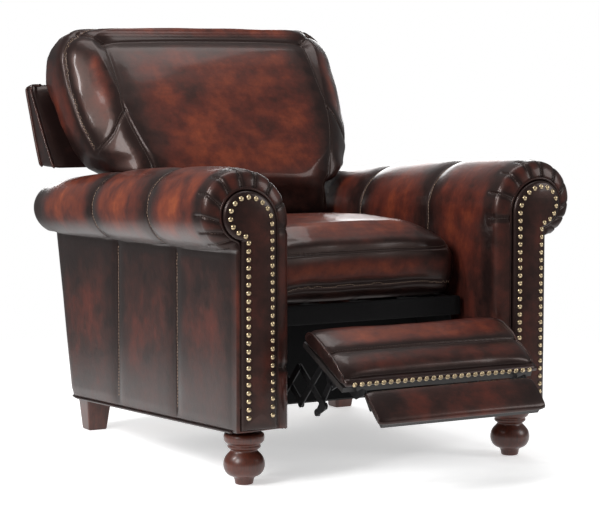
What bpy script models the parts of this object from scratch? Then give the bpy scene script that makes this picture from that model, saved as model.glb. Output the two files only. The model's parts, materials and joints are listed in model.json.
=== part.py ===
"""Push-back recliner armchair: rolled arms, a pillow back, a loose seat cushion and a two-panel footrest.

It stands half open: the back is part reclined and the footrest is part raised. The front of the chair
faces -Y, and left and right are as seen from the front. Y is counted from the front of the arms, and
the whole chair is then moved so that its box is centred over the origin.
"""

import math

import bmesh
import bpy
from mathutils import Vector

SIDES = (("left", -1), ("right", 1))
GAP = 0.0003
CHAIR_SHIFT_Y = -0.44505

# Arms: x is half width, measured from the chair's middle plane
ARM_INNER_X = 0.270
ARM_OUTER_X = 0.404
ARM_FRONT_Y = 0.022
ARM_BOTTOM_FRONT_Z = 0.125
ARM_BOTTOM_REAR_Z = 0.079
ARM_REAR_Y = 0.93
ARM_REAR_RAKE = 0.247
ROLL_X = 0.385
ROLL_TOP_Z = 0.695
ROLL_DROP = 0.075
ROLL_OUT = 0.095
ROLL_IN = 0.115
NECK_Z = 0.522
NECK_DROP = 0.030

# Arm front panel, nail trim and nails
PANEL_INNER_X = 0.311
PANEL_OUTER_X = 0.396
PANEL_BOTTOM_Z = 0.131
PANEL_HEAD_Z = 0.596
PANEL_HEAD_R = 0.054
PANEL_FRONT_Y = 0.002
TRIM_INSET = 0.0135
TRIM_WIDTH = 0.0115
TRIM_THICKNESS = 0.0012
NAIL_R = 0.005
NAIL_RISE = 0.0022
NAIL_PITCH = 0.018

# Feet
FOOT_X = 0.354
FOOT_Y = 0.076
FOOT_HEIGHT = 0.1193
LEG_X = 0.3585
LEG_Y = 0.8775
LEG_HEIGHT = 0.0765

# Seat
SEAT_HALF_WIDTH = 0.2675
SEAT_FRONT_Y = 0.130
SEAT_REAR_Y = 0.685
SEAT_BOTTOM_Z = 0.378
SEAT_TOP_Z = 0.512
RAIL_TOP_Z = 0.373
RAIL_BOTTOM_Z = 0.335
SPRING_WIRE_R = 0.0015
SLIDE_RISE = math.radians(8)

# Back
BACK_PIVOT = (0.0, 0.860, 0.500)
BACK_NARROW_X = 0.256
SHELL_TOP_Z = 0.862
SHELL_REAR_TOP_Y = 1.155
SHELL_REAR_RAKE = 0.364
SHELL_WALL = 0.010

# Footrest linkage, in the plane across X: two crossed pairs of equal bars each side
HALF_BAR = 0.0631
FIRST_PIVOT = (0.156, 0.243)
TRAVEL_TILT = math.radians(5)
BAR_ANGLE = math.radians(40)
BAR_ANGLE_CLOSED = math.radians(82)
BAR_ANGLE_OPEN = math.radians(22)
BAR_END_R = 0.008
PIN_R = 0.004
HOLE_R = 0.0050
TILT_ARM_ALONG = 0.1054
TILT_ARM_ACROSS = 0.040
TILT_LINK_LENGTH = 0.0824
TILT_LINK_ANGLE = math.radians(54.1)
TILT_PIVOT = (0.030, -0.025)
TILT_HOLE_R = 0.0082

# Layers of the linkage across X, from the outside in: each is the inner and outer face of a plate
SIDE_PLATE = (0.2285, 0.2315)
RISING_BARS = (0.2240, 0.2270)
FALLING_BARS = (0.2195, 0.2225)
TILT_ARMS = (0.2150, 0.2180)
TILT_LINKS = (0.2105, 0.2135)
PANEL_BRACKETS = (0.2060, 0.2090)
FLIPPER_BRACKETS = (0.2015, 0.2045)

# Footrest panels: distances along the panel (forward) and off it (towards its leather face)
PANEL_TILT = math.radians(-25)
PANEL_REAR = -0.070
PANEL_FRONT = 0.135
PANEL_FACE = 0.065
PANEL_BOARD = (0.022, 0.034)
PANEL_HALF_WIDTH = 0.257
FLIPPER_HINGE = (0.150, 0.035)
FLIPPER_TILT = math.radians(-18.6)
FLIPPER_LENGTH = (0.0075, 0.095)
FLIPPER_BOARD = (-0.0070, 0.0047)
FLIPPER_FACE = 0.0175
FLIPPER_HALF_WIDTH = 0.2135


# ---------------------------------------------------------------- materials

def finish(name, colour, roughness, metallic=0.0):
    material = bpy.data.materials.new(name)
    material.use_nodes = True
    shader = material.node_tree.nodes["Principled BSDF"]
    shader.inputs["Base Color"].default_value = (*colour, 1.0)
    shader.inputs["Roughness"].default_value = roughness
    shader.inputs["Metallic"].default_value = metallic
    return material


def make_finishes():
    return {
        "leather": finish("burgundy_leather", (0.130, 0.028, 0.018), 0.36),
        "mahogany": finish("mahogany", (0.090, 0.018, 0.012), 0.20),
        "frame_wood": finish("frame_wood", (0.42, 0.27, 0.14), 0.62),
        "steel": finish("black_steel", (0.020, 0.020, 0.022), 0.45, 0.8),
        "brass": finish("antique_brass", (0.42, 0.28, 0.12), 0.34, 1.0),
        "spring_steel": finish("spring_steel", (0.35, 0.35, 0.36), 0.35, 1.0),
    }


# ---------------------------------------------------------------- shapes

def place(name, bm, material, origin=(0.0, 0.0, 0.0)):
    """The object of a bmesh drawn in the chair's own places, with its origin moved onto its joint."""
    bmesh.ops.recalc_face_normals(bm, faces=bm.faces)
    bmesh.ops.translate(bm, verts=bm.verts, vec=-Vector(origin))
    mesh = bpy.data.meshes.new(name)
    bm.to_mesh(mesh)
    bm.free()
    mesh.materials.append(material)
    mesh.shade_smooth()
    mesh.set_sharp_from_angle(angle=math.radians(35))
    piece = bpy.data.objects.new(name, mesh)
    piece.location = origin
    piece.parent = chair
    bpy.context.collection.objects.link(piece)
    return piece


def loft(rings):
    """A closed form through rings of equally many points."""
    bm = bmesh.new()
    rows = [[bm.verts.new(point) for point in ring] for ring in rings]
    for low, high in zip(rows, rows[1:]):
        for i in range(len(low)):
            j = (i + 1) % len(low)
            bm.faces.new((low[i], low[j], high[j], high[i]))
    bm.faces.new(rows[0])
    bm.faces.new(rows[-1])
    return bm


def side_prism(outline, x_from, x_to):
    """An outline of (y, z) points given thickness across X."""
    return loft([[(x, y, z) for y, z in outline] for x in (x_from, x_to)])


def box(low, high):
    bm = bmesh.new()
    bmesh.ops.create_cube(bm, size=1.0)
    centre = (Vector(low) + Vector(high)) / 2
    size = Vector(high) - Vector(low)
    bmesh.ops.scale(bm, verts=bm.verts, vec=size)
    bmesh.ops.translate(bm, verts=bm.verts, vec=centre)
    return bm


def side_box(side, x_in, x_out, y_range, z_range):
    """A box beside the middle plane, its x given as distances from that plane."""
    low_x, high_x = sorted((side * x_in, side * x_out))
    return box((low_x, y_range[0], z_range[0]), (high_x, y_range[1], z_range[1]))


def turned(x, y, profile, segments=20):
    """A turned form on an upright axis: profile is (radius, z) from the bottom up."""
    angles = [2 * math.pi * i / segments for i in range(segments)]
    return loft(
        [[(x + r * math.cos(a), y + r * math.sin(a), z) for a in angles] for r, z in profile]
    )


def rod(x_from, x_to, centre, radius, segments=12):
    """A round bar across X, centred on a (y, z) point."""
    angles = [2 * math.pi * i / segments for i in range(segments)]
    outline = [(centre[0] + radius * math.cos(a), centre[1] + radius * math.sin(a)) for a in angles]
    return side_prism(outline, x_from, x_to)


def hull_outline(centres, radius, steps=14):
    """The outline of a string drawn tight round equal discs at the centres."""
    points = sorted(
        (y + radius * math.cos(2 * math.pi * i / steps), z + radius * math.sin(2 * math.pi * i / steps))
        for y, z in centres
        for i in range(steps)
    )
    chains = []
    for ordered in (points, points[::-1]):
        chain = []
        for point in ordered:
            while len(chain) > 1 and turn(chain[-2], chain[-1], point) <= 1e-12:
                chain.pop()
            chain.append(point)
        chains += chain[:-1]
    return chains


def turn(a, b, c):
    return (b[0] - a[0]) * (c[1] - a[1]) - (b[1] - a[1]) * (c[0] - a[0])


def boolean(piece, other, operation):
    """Cuts the other object out of the piece, or joins it on."""
    other.hide_render = True
    other.display_type = "WIRE"
    step = piece.modifiers.new(operation.lower(), "BOOLEAN")
    step.operation = operation
    step.object = other
    step.solver = "EXACT"


def merged(parts):
    """Several bmeshes as one."""
    whole = bmesh.new()
    for part in parts:
        bmesh.ops.recalc_face_normals(part, faces=part.faces)
        mesh = bpy.data.meshes.new("part")
        part.to_mesh(mesh)
        part.free()
        whole.from_mesh(mesh)
        bpy.data.meshes.remove(mesh)
    return whole


# ---------------------------------------------------------------- arms

def arm_drop(y):
    return ROLL_DROP * (max(y, 0.0) / 0.95) ** 1.6


def arm_ring(side, along, inset=0.0):
    """The arm's section, along running from 0 at the front to 1 at the raked rear end."""
    nominal_y = ARM_FRONT_Y + along * (1.02 - ARM_FRONT_Y)
    top = ROLL_TOP_Z - arm_drop(nominal_y) - inset
    neck = NECK_Z - NECK_DROP * along
    bottom = ARM_BOTTOM_FRONT_Z + (ARM_BOTTOM_REAR_Z - ARM_BOTTOM_FRONT_Z) * along + inset
    rise = (top + inset - neck) * 0.53
    out = ROLL_OUT * (1 - 0.22 * along ** 1.6)
    section = [(ARM_INNER_X + inset, bottom)]
    for step in range(6):
        angle = math.radians(180 - 18 * step)
        x = ROLL_X + (ROLL_IN - inset) * math.cos(angle)
        section.append((x, top - 0.12 + 0.12 * math.sin(angle)))
    for step in range(1, 8):
        angle = math.radians(90 - 21.5 * step)
        x = ROLL_X + (out - inset) * math.cos(angle)
        section.append((x, top - rise + rise * math.sin(angle)))
    section.append((ARM_OUTER_X - inset, neck))
    section.append((ARM_OUTER_X - inset, bottom))
    ring = []
    for x, z in section:
        rear = ARM_REAR_Y + ARM_REAR_RAKE * (z - ARM_BOTTOM_REAR_Z)
        ring.append((side * x, ARM_FRONT_Y + along * (rear - ARM_FRONT_Y), z))
    return ring


def make_arm(label, side):
    stations = ((0.0, 0.007), (0.012, 0.0), (0.25, 0.0), (0.5, 0.0),
                (0.75, 0.0), (0.96, 0.0), (0.99, 0.008), (1.0, 0.024))
    arm = place(f"arm_cover_{label}", loft([arm_ring(side, a, i) for a, i in stations]), finishes["leather"])
    inside = [(0.040, 0.05), (0.040, 0.555), (0.900, 0.500), (0.880, 0.05)]
    hollow = side_prism(inside, side * 0.290, side * 0.386)
    boolean(arm, place(f"arm_hollow_{label}", hollow, finishes["leather"]), "DIFFERENCE")
    wood = finishes["frame_wood"]
    posts = {
        "front_post": ((0.048, 0.100), (0.124, 0.500)),
        "rear_post": ((0.800, 0.860), (0.087, 0.480)),
    }
    for name, (y_range, z_range) in posts.items():
        place(f"arm_{name}_{label}", side_box(side, 0.312, 0.366, y_range, z_range), wood)
    make_front_panel(label, side)


def keyhole(inset):
    """The arm front's keyhole outline of (x, z) points, an open line from inner foot to outer foot."""
    inner_r = ROLL_X - PANEL_INNER_X - inset
    head_r = PANEL_HEAD_R - inset
    foot_z = PANEL_BOTTOM_Z + inset
    inner_centre_z = PANEL_HEAD_Z + PANEL_HEAD_R - (ROLL_X - PANEL_INNER_X)
    line = [(ROLL_X - inner_r, foot_z)]
    for step in range(7):
        angle = math.radians(180 - 15 * step)
        line.append((ROLL_X + inner_r * math.cos(angle), inner_centre_z + inner_r * math.sin(angle)))
    neck_x = PANEL_OUTER_X - inset
    lowest = -math.acos(max(min((neck_x - ROLL_X) / head_r, 1.0), -1.0))
    for step in range(1, 11):
        angle = math.radians(90) + (lowest - math.radians(90)) * step / 10
        line.append((ROLL_X + head_r * math.cos(angle), PANEL_HEAD_Z + head_r * math.sin(angle)))
    line.append((neck_x, foot_z))
    return line


def make_front_panel(label, side):
    steps = ((ARM_FRONT_Y - GAP, 0.0), (PANEL_FRONT_Y + 0.006, 0.0), (PANEL_FRONT_Y, 0.005))
    rings = [[(side * x, y, z) for x, z in keyhole(inset)] for y, inset in steps]
    place(f"arm_front_panel_{label}", loft(rings), finishes["leather"])
    path = keyhole(TRIM_INSET)
    front = PANEL_FRONT_Y - GAP
    strip = place(f"arm_nail_trim_{label}", ribbon(path, side, front), finishes["brass"])
    nails = merged([nail((side * x, front - TRIM_THICKNESS, z)) for x, z in spaced(path, NAIL_PITCH)])
    boolean(strip, place(f"arm_nails_{label}", nails, finishes["brass"]), "UNION")


def ribbon(path, side, back_y):
    """A thin flat strip along a path of (x, z) points, lying on an upright face."""
    left, right = [], []
    for i, point in enumerate(path):
        before = Vector(path[max(i - 1, 0)])
        after = Vector(path[min(i + 1, len(path) - 1)])
        along = (after - before).normalized()
        across = Vector((-along.y, along.x)) * TRIM_WIDTH / 2
        left.append(Vector(point) + across)
        right.append(Vector(point) - across)
    outline = left + right[::-1]
    return loft([[(side * p.x, y, p.y) for p in outline] for y in (back_y, back_y - TRIM_THICKNESS)])


def spaced(path, pitch):
    """Points at an even pitch along an open line."""
    points = [Vector(p) for p in path]
    lengths = [(b - a).length for a, b in zip(points, points[1:])]
    count = round(sum(lengths) / pitch)
    found = []
    for k in range(count):
        left = (k + 0.5) * sum(lengths) / count
        for (a, b), length in zip(zip(points, points[1:]), lengths):
            if left <= length:
                found.append(a.lerp(b, left / length))
                break
            left -= length
    return found


def nail(centre, direction=Vector((0, -1, 0)), across=Vector((1, 0, 0))):
    """A low round head whose foot sinks a little into what it is driven into."""
    centre, up = Vector(centre), direction.cross(across)
    rings = []
    for radius, off in ((NAIL_R, -0.0006), (NAIL_R * 0.55, NAIL_RISE)):
        middle = centre + direction * off
        turns = [2 * math.pi * i / 6 for i in range(6)]
        rings.append([middle + (across * math.cos(a) + up * math.sin(a)) * radius for a in turns])
    return loft(rings)


# ---------------------------------------------------------------- feet and base

def make_feet(label, side):
    bun = ((0.019, 0.0), (0.024, 0.017), (0.034, 0.020), (0.0445, 0.033), (0.046, 0.046), (0.043, 0.060),
           (0.031, 0.073), (0.0295, 0.077), (0.036, 0.080), (0.037, 0.085), (0.036, 0.089), (0.041, 0.092),
           (0.045, 0.098), (0.045, FOOT_HEIGHT))
    place(f"front_foot_{label}", turned(side * FOOT_X, FOOT_Y, bun), finishes["mahogany"])
    rings = []
    for half_x, half_y, shift, z in ((0.0245, 0.0225, 0.0, 0.0), (0.0325, 0.030, -0.004, LEG_HEIGHT)):
        corners = ((-half_x, -half_y), (half_x, -half_y), (half_x, half_y), (-half_x, half_y))
        rings.append([(side * LEG_X + x, LEG_Y + shift + y, z) for x, y in corners])
    place(f"rear_leg_{label}", loft(rings), finishes["mahogany"])


def make_base():
    wood = finishes["frame_wood"]
    reach = ARM_INNER_X - GAP
    place("base_rail_front", box((-reach, 0.330, 0.120), (reach, 0.355, 0.165)), wood)
    place("base_rail_rear", box((-reach, 0.800, 0.110), (reach, 0.825, 0.165)), wood)
    for label, side in SIDES:
        track = slide_bar(side, 0.2625, reach, 0.180, 0.660)
        place(f"slide_track_{label}", track, finishes["steel"])
        pin = rod(side * 0.2535, side * reach, BACK_PIVOT[1:], 0.007)
        place(f"back_pivot_pin_{label}", pin, finishes["steel"])


def slide_bar(side, x_in, x_out, y_from, y_to):
    """A flat bar lying along the seat's sloping line of travel."""
    def height(y):
        return 0.350 - (y - 0.180) * math.tan(SLIDE_RISE)
    outline = [(y_from, height(y_from) - 0.011), (y_to, height(y_to) - 0.011),
               (y_to, height(y_to) + 0.011), (y_from, height(y_from) + 0.011)]
    return side_prism(outline, side * x_in, side * x_out)


# ---------------------------------------------------------------- seat

def make_seat():
    wood = finishes["frame_wood"]
    for name, front in (("front", 0.140), ("rear", 0.640)):
        rail = box((-0.2317, front, RAIL_BOTTOM_Z), (0.2317, front + 0.022, RAIL_TOP_Z))
        place(f"seat_rail_{name}", rail, wood)
    for label, side in SIDES:
        rail = side_box(side, 0.232, 0.252, (0.140, 0.662), (RAIL_BOTTOM_Z, RAIL_TOP_Z))
        place(f"seat_rail_{label}", rail, wood)
        place(f"slide_runner_{label}", slide_bar(side, 0.2523, 0.2605, 0.200, 0.640), finishes["steel"])
        make_side_plate(label, side)
    for number, x in enumerate((-0.130, 0.0, 0.130), 1):
        make_spring(f"seat_spring_{number}", x)
    place("seat_cushion", cushion_form(), finishes["leather"])


def cushion_form():
    """A box cushion with a crowned top, drawn as side sections across the chair."""
    rings = []
    stations = ((-1.0, 0.020), (-0.94, 0.004), (-0.6, 0.0), (0.0, 0.0),
                (0.6, 0.0), (0.94, 0.004), (1.0, 0.020))
    for x, edge in stations:
        crown = 0.034 * (1 - x ** 4)
        front, rear = SEAT_FRONT_Y + edge, SEAT_REAR_Y - edge
        low, high = SEAT_BOTTOM_Z + edge * 0.6, SEAT_TOP_Z - edge
        section = [(front + 0.012, low), (rear, low), (rear, high + crown * 0.2)]
        section += [(SEAT_REAR_Y - 0.15, high + crown * 0.8), (SEAT_FRONT_Y + 0.26, high + crown),
                    (SEAT_FRONT_Y + 0.10, high + crown * 0.9), (front + 0.020, high), (front, high - 0.025),
                    (front, low + 0.020)]
        rings.append([(x * SEAT_HALF_WIDTH, y, z) for y, z in section])
    return loft(rings)


def make_spring(name, x):
    """A sinuous no-sag spring: one wire bent from side to side along the seat."""
    waves, points_per_wave, reach = 9, 8, 0.020
    count = waves * points_per_wave
    curve = bpy.data.curves.new(name, "CURVE")
    curve.dimensions = "3D"
    curve.bevel_depth = SPRING_WIRE_R
    curve.bevel_resolution = 0
    curve.use_fill_caps = True
    spline = curve.splines.new("POLY")
    spline.points.add(count)
    for i, point in enumerate(spline.points):
        swing = reach * math.sin(2 * math.pi * i / points_per_wave)
        y = 0.146 + (0.656 - 0.146) * i / count
        point.co = (x + swing, y, RAIL_TOP_Z + GAP + SPRING_WIRE_R, 1.0)
    curve.materials.append(finishes["spring_steel"])
    piece = bpy.data.objects.new(name, curve)
    piece.parent = chair
    bpy.context.collection.objects.link(piece)


# ---------------------------------------------------------------- back

def shell_rear(z):
    return SHELL_REAR_TOP_Y - (SHELL_TOP_Z - z) * SHELL_REAR_RAKE


def shell_front(z):
    """The wedge-shaped frame's front edge: thin at the top and deep at the foot."""
    return max(0.958 + (z - 0.600) * 0.650, shell_rear(z) - 0.095)


def t_rings(levels, front_at, rear_at, corner):
    """Level rings with cut corners, from (z, half width) levels and two functions of z."""
    rings = []
    for z, half in levels:
        y_in, y_out = front_at(z), rear_at(z)
        cut = min(corner, (y_out - y_in) * 0.4)
        front = [(-half, y_in + cut), (-half + cut, y_in), (half - cut, y_in), (half, y_in + cut)]
        rear = [(half, y_out - cut), (half - cut, y_out), (-half + cut, y_out), (-half, y_out - cut)]
        rings.append([(x, y, z) for x, y in front + rear])
    return rings


def make_back():
    narrow = BACK_NARROW_X
    levels = ((0.360, narrow), (0.6540, narrow), (0.6545, 0.414), (0.780, 0.420), (0.850, 0.422),
              (SHELL_TOP_Z, 0.412))
    outside = loft(t_rings(levels, shell_front, shell_rear, 0.008))
    shell = place("outside_back", outside, finishes["leather"], BACK_PIVOT)
    wall = SHELL_WALL
    hollow_levels = ((0.3700, narrow - wall), (0.6600, narrow - wall), (0.6605, 0.402), (0.840, 0.406))
    hollow = loft(
        t_rings(hollow_levels, lambda z: shell_front(z) - 0.02, lambda z: shell_rear(z) - wall, 0.001)
    )
    boolean(shell, place("back_hollow", hollow, finishes["leather"], BACK_PIVOT), "DIFFERENCE")
    make_back_frame()
    make_pillow()


def make_back_frame():
    wood = finishes["frame_wood"]
    for label, side in SIDES:
        post = [(shell_rear(z) - SHELL_WALL - 0.002, z) for z in (0.378, 0.760)]
        post += [(shell_rear(z) - SHELL_WALL - depth, z) for z, depth in ((0.760, 0.030), (0.378, 0.045))]
        place(f"back_post_{label}", side_prism(post, side * 0.205, side * 0.2365), wood, BACK_PIVOT)
        plate = hull_outline([BACK_PIVOT[1:], (0.905, 0.440), (0.905, 0.560)], 0.016)
        plate = side_prism(plate, side * 0.2590, side * 0.2620)
        bracket = place(f"back_bracket_{label}", plate, finishes["steel"], BACK_PIVOT)
        bore = rod(side * 0.2570, side * 0.2640, BACK_PIVOT[1:], 0.0078)
        boolean(bracket, place(f"back_bracket_bore_{label}", bore, finishes["steel"]), "DIFFERENCE")
    for name, z in (("bottom", 0.378), ("top", 0.715)):
        corners = ((z, 0.006), (z + 0.045, 0.006), (z + 0.045, 0.026), (z, 0.026))
        rail = [(shell_rear(h) - SHELL_WALL - depth, h) for h, depth in corners]
        place(f"back_{name}_rail", side_prism(rail, -0.2047, 0.2047), wood, BACK_PIVOT)


def between(stops, at):
    """Straight-line reading of a list of (position, value) stops."""
    for (start, low), (end, high) in zip(stops, stops[1:]):
        if at <= end:
            return low + (high - low) * max(at - start, 0.0) / (end - start)
    return stops[-1][1]


def pillow_front(z):
    """The pillow's front face: a lumbar swell that lies back towards the top."""
    stops = ((0.510, 0.706), (0.600, 0.715), (0.680, 0.752), (0.760, 0.806), (0.860, 0.874),
             (0.940, 0.936), (0.980, 0.978), (1.000, 1.015))
    return between(stops, z)


def pillow_rear(z):
    if z <= SHELL_TOP_Z:
        return shell_front(z) - 0.004
    above = between(((SHELL_TOP_Z, 0.0), (0.930, 0.008), (0.980, 0.030), (1.0, 0.060)), z)
    return shell_front(SHELL_TOP_Z) - 0.004 - above


def make_pillow():
    """The back pillow: narrow between the arms, wide above them, its front turning back at the sides."""
    narrow = BACK_NARROW_X
    levels = ((0.510, narrow - 0.010), (0.530, narrow), (0.648, narrow), (0.6555, 0.345), (0.690, 0.362),
              (0.760, 0.380), (0.860, 0.390), (0.930, 0.388), (0.975, 0.368), (1.000, 0.330))
    rings = []
    for z, half in levels:
        front, rear = pillow_front(z), pillow_rear(z)
        turn_x, turn_y = 0.020, 0.020
        if half > narrow:
            turn_x, turn_y = 0.085, min(0.090, 0.45 * (rear - front))
        heel = min(0.030, 0.25 * (rear - front))
        right = [(half - turn_x, front), (half - turn_x * 0.33, front + turn_y * 0.42),
                 (half, front + turn_y), (half, rear - heel), (half - heel, rear)]
        rings.append([(-x, y, z) for x, y in right[::-1]] + [(x, y, z) for x, y in right])
    place("back_cushion", loft(rings), finishes["leather"], BACK_PIVOT)


# ---------------------------------------------------------------- footrest linkage

def linkage():
    """The linkage's pivots as (y, z) points, for the half-open rest position."""
    forward = Vector((-math.cos(TRAVEL_TILT), math.sin(TRAVEL_TILT)))
    down = Vector((-math.sin(TRAVEL_TILT), -math.cos(TRAVEL_TILT)))
    reach = forward * 2 * HALF_BAR * math.cos(BAR_ANGLE)
    depth = down * 2 * HALF_BAR * math.sin(BAR_ANGLE)
    first = Vector(FIRST_PIVOT)
    falling = (reach + depth).normalized()
    across = -forward * math.sin(BAR_ANGLE) + down * math.cos(BAR_ANGLE)
    points = {
        "first": first,
        "slot": first + depth,
        "rear_cross": first + (reach + depth) / 2,
        "upper": first + reach,
        "lower": first + reach + depth,
        "front_cross": first + reach + (reach + depth) / 2,
        "panel": first + reach * 2,
        "knee": first + reach * 2 + depth,
    }
    points["tilt"] = points["upper"] + falling * TILT_ARM_ALONG + across * TILT_ARM_ACROSS
    swing = Vector((-math.cos(TILT_LINK_ANGLE), math.sin(TILT_LINK_ANGLE)))
    points["tilt_end"] = points["tilt"] + swing * TILT_LINK_LENGTH
    points["slot_top"] = first + down * 2 * HALF_BAR * math.sin(BAR_ANGLE_OPEN)
    points["slot_foot"] = first + down * 2 * HALF_BAR * math.sin(BAR_ANGLE_CLOSED)
    return points


def at_pivot(point):
    return (0.0, point[0], point[1])


def make_bar(name, side, layer, centres, origin, pins=(), holes=()):
    """A flat bar with round ends. Pins are (centre, far x, radius); holes are (centre, radius)."""
    low, high = layer
    flat = side_prism(hull_outline(centres, BAR_END_R), side * low, side * high)
    bar = place(name, flat, finishes["steel"], at_pivot(origin))
    if holes:
        bores = merged([rod(side * (low - 0.002), side * (high + 0.002), c, r) for c, r in holes])
        boolean(bar, place(f"{name}_bores", bores, finishes["steel"]), "DIFFERENCE")
    if pins:
        shanks = merged(
            [rod(side * min(low + 0.001, far), side * max(high - 0.001, far), c, r) for c, far, r in pins]
        )
        boolean(bar, place(f"{name}_pins", shanks, finishes["steel"]), "UNION")
    return bar


def make_side_plate(label, side):
    """The plate that carries the linkage, hung from the seat's side rail, slotted for the lower rear pin."""
    at = pivots
    outline = [(0.1625, 0.368), (0.1625, 0.3345), (0.146, 0.3345), (0.132, 0.262), (0.126, 0.104),
               (0.176, 0.104), (0.300, 0.325), (0.420, 0.325), (0.420, 0.368)]
    flat = side_prism(outline, side * SIDE_PLATE[0], side * SIDE_PLATE[1])
    plate = place(f"side_plate_{label}", flat, finishes["steel"])
    slot_outline = hull_outline([at["slot_top"], at["slot_foot"]], HOLE_R + 0.0004)
    slot = side_prism(slot_outline, side * 0.2265, side * 0.2335)
    boolean(plate, place(f"side_plate_slot_{label}", slot, finishes["steel"]), "DIFFERENCE")
    shank = rod(side * (FALLING_BARS[0] - 0.001), side * (SIDE_PLATE[1] - 0.001), at["first"], PIN_R)
    boolean(plate, place(f"side_plate_pin_{label}", shank, finishes["steel"]), "UNION")


def make_linkage(label, side):
    at = pivots
    hole = HOLE_R
    outward = RISING_BARS[1] + 0.0005
    make_bar(f"rear_falling_bar_{label}", side, FALLING_BARS, [at["first"], at["lower"]], at["first"],
             pins=[(at["rear_cross"], outward, PIN_R), (at["lower"], outward, PIN_R)],
             holes=[(at["first"], hole)])
    make_bar(f"rear_rising_bar_{label}", side, RISING_BARS, [at["slot"], at["upper"]], at["rear_cross"],
             pins=[(at["slot"], SIDE_PLATE[1] - 0.0005, PIN_R),
                   (at["upper"], FALLING_BARS[0] - 0.0005, PIN_R)],
             holes=[(at["rear_cross"], hole)])
    elbow = make_bar(f"front_falling_bar_{label}", side, FALLING_BARS, [at["upper"], at["knee"]],
                     at["upper"],
                     pins=[(at["front_cross"], outward, PIN_R), (at["knee"], TILT_ARMS[0] + 0.0005, 0.006)],
                     holes=[(at["upper"], hole)])
    arm_outline = hull_outline([at["knee"], at["tilt"]], BAR_END_R - 0.0002)
    arm = side_prism(arm_outline, side * TILT_ARMS[0], side * TILT_ARMS[1])
    boolean(elbow, place(f"tilt_arm_{label}", arm, finishes["steel"]), "UNION")
    shank = rod(side * (TILT_LINKS[0] - 0.0005), side * (TILT_ARMS[1] - 0.001), at["tilt"], PIN_R)
    boolean(elbow, place(f"tilt_arm_pin_{label}", shank, finishes["steel"]), "UNION")
    make_bar(f"front_rising_bar_{label}", side, RISING_BARS, [at["lower"], at["panel"]], at["lower"],
             pins=[(at["panel"], PANEL_BRACKETS[0] - 0.0005, PIN_R)],
             holes=[(at["lower"], hole), (at["front_cross"], hole)])
    make_bar(f"tilt_link_{label}", side, TILT_LINKS, [at["tilt"], at["tilt_end"]], at["tilt"],
             pins=[(at["tilt_end"], PANEL_BRACKETS[0] - 0.0005, PIN_R)], holes=[(at["tilt"], hole)])


# ---------------------------------------------------------------- footrest panels

def on_panel(along, off):
    tilt = PANEL_TILT
    direction = Vector((-math.cos(tilt), math.sin(tilt)))
    normal = Vector((math.sin(tilt), math.cos(tilt)))
    return pivots["panel"] + direction * along + normal * off


def on_flipper(along, off):
    tilt = PANEL_TILT + FLIPPER_TILT
    direction = Vector((-math.cos(tilt), math.sin(tilt)))
    normal = Vector((math.sin(tilt), math.cos(tilt)))
    return on_panel(*FLIPPER_HINGE) + direction * along + normal * off


def pad_rings(half_width, section, crown, where):
    """A crowned pad: its (along, off) side section repeated across X, drawn in at the two ends."""
    middle = sum(a for a, _ in section) / len(section)
    low = min(off for _, off in section)
    rings = []
    stations = ((-1.0, 0.90), (-0.96, 0.98), (-0.5, 1.0), (0.0, 1.0), (0.5, 1.0), (0.96, 0.98), (1.0, 0.90))
    for x, draw in stations:
        ring = []
        for along, off in section:
            lift = (off - low) * (draw + crown * (1 - x * x))
            ring.append((x * half_width, *where(middle + (along - middle) * draw, low + lift)))
        rings.append(ring)
    return loft(rings)


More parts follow.
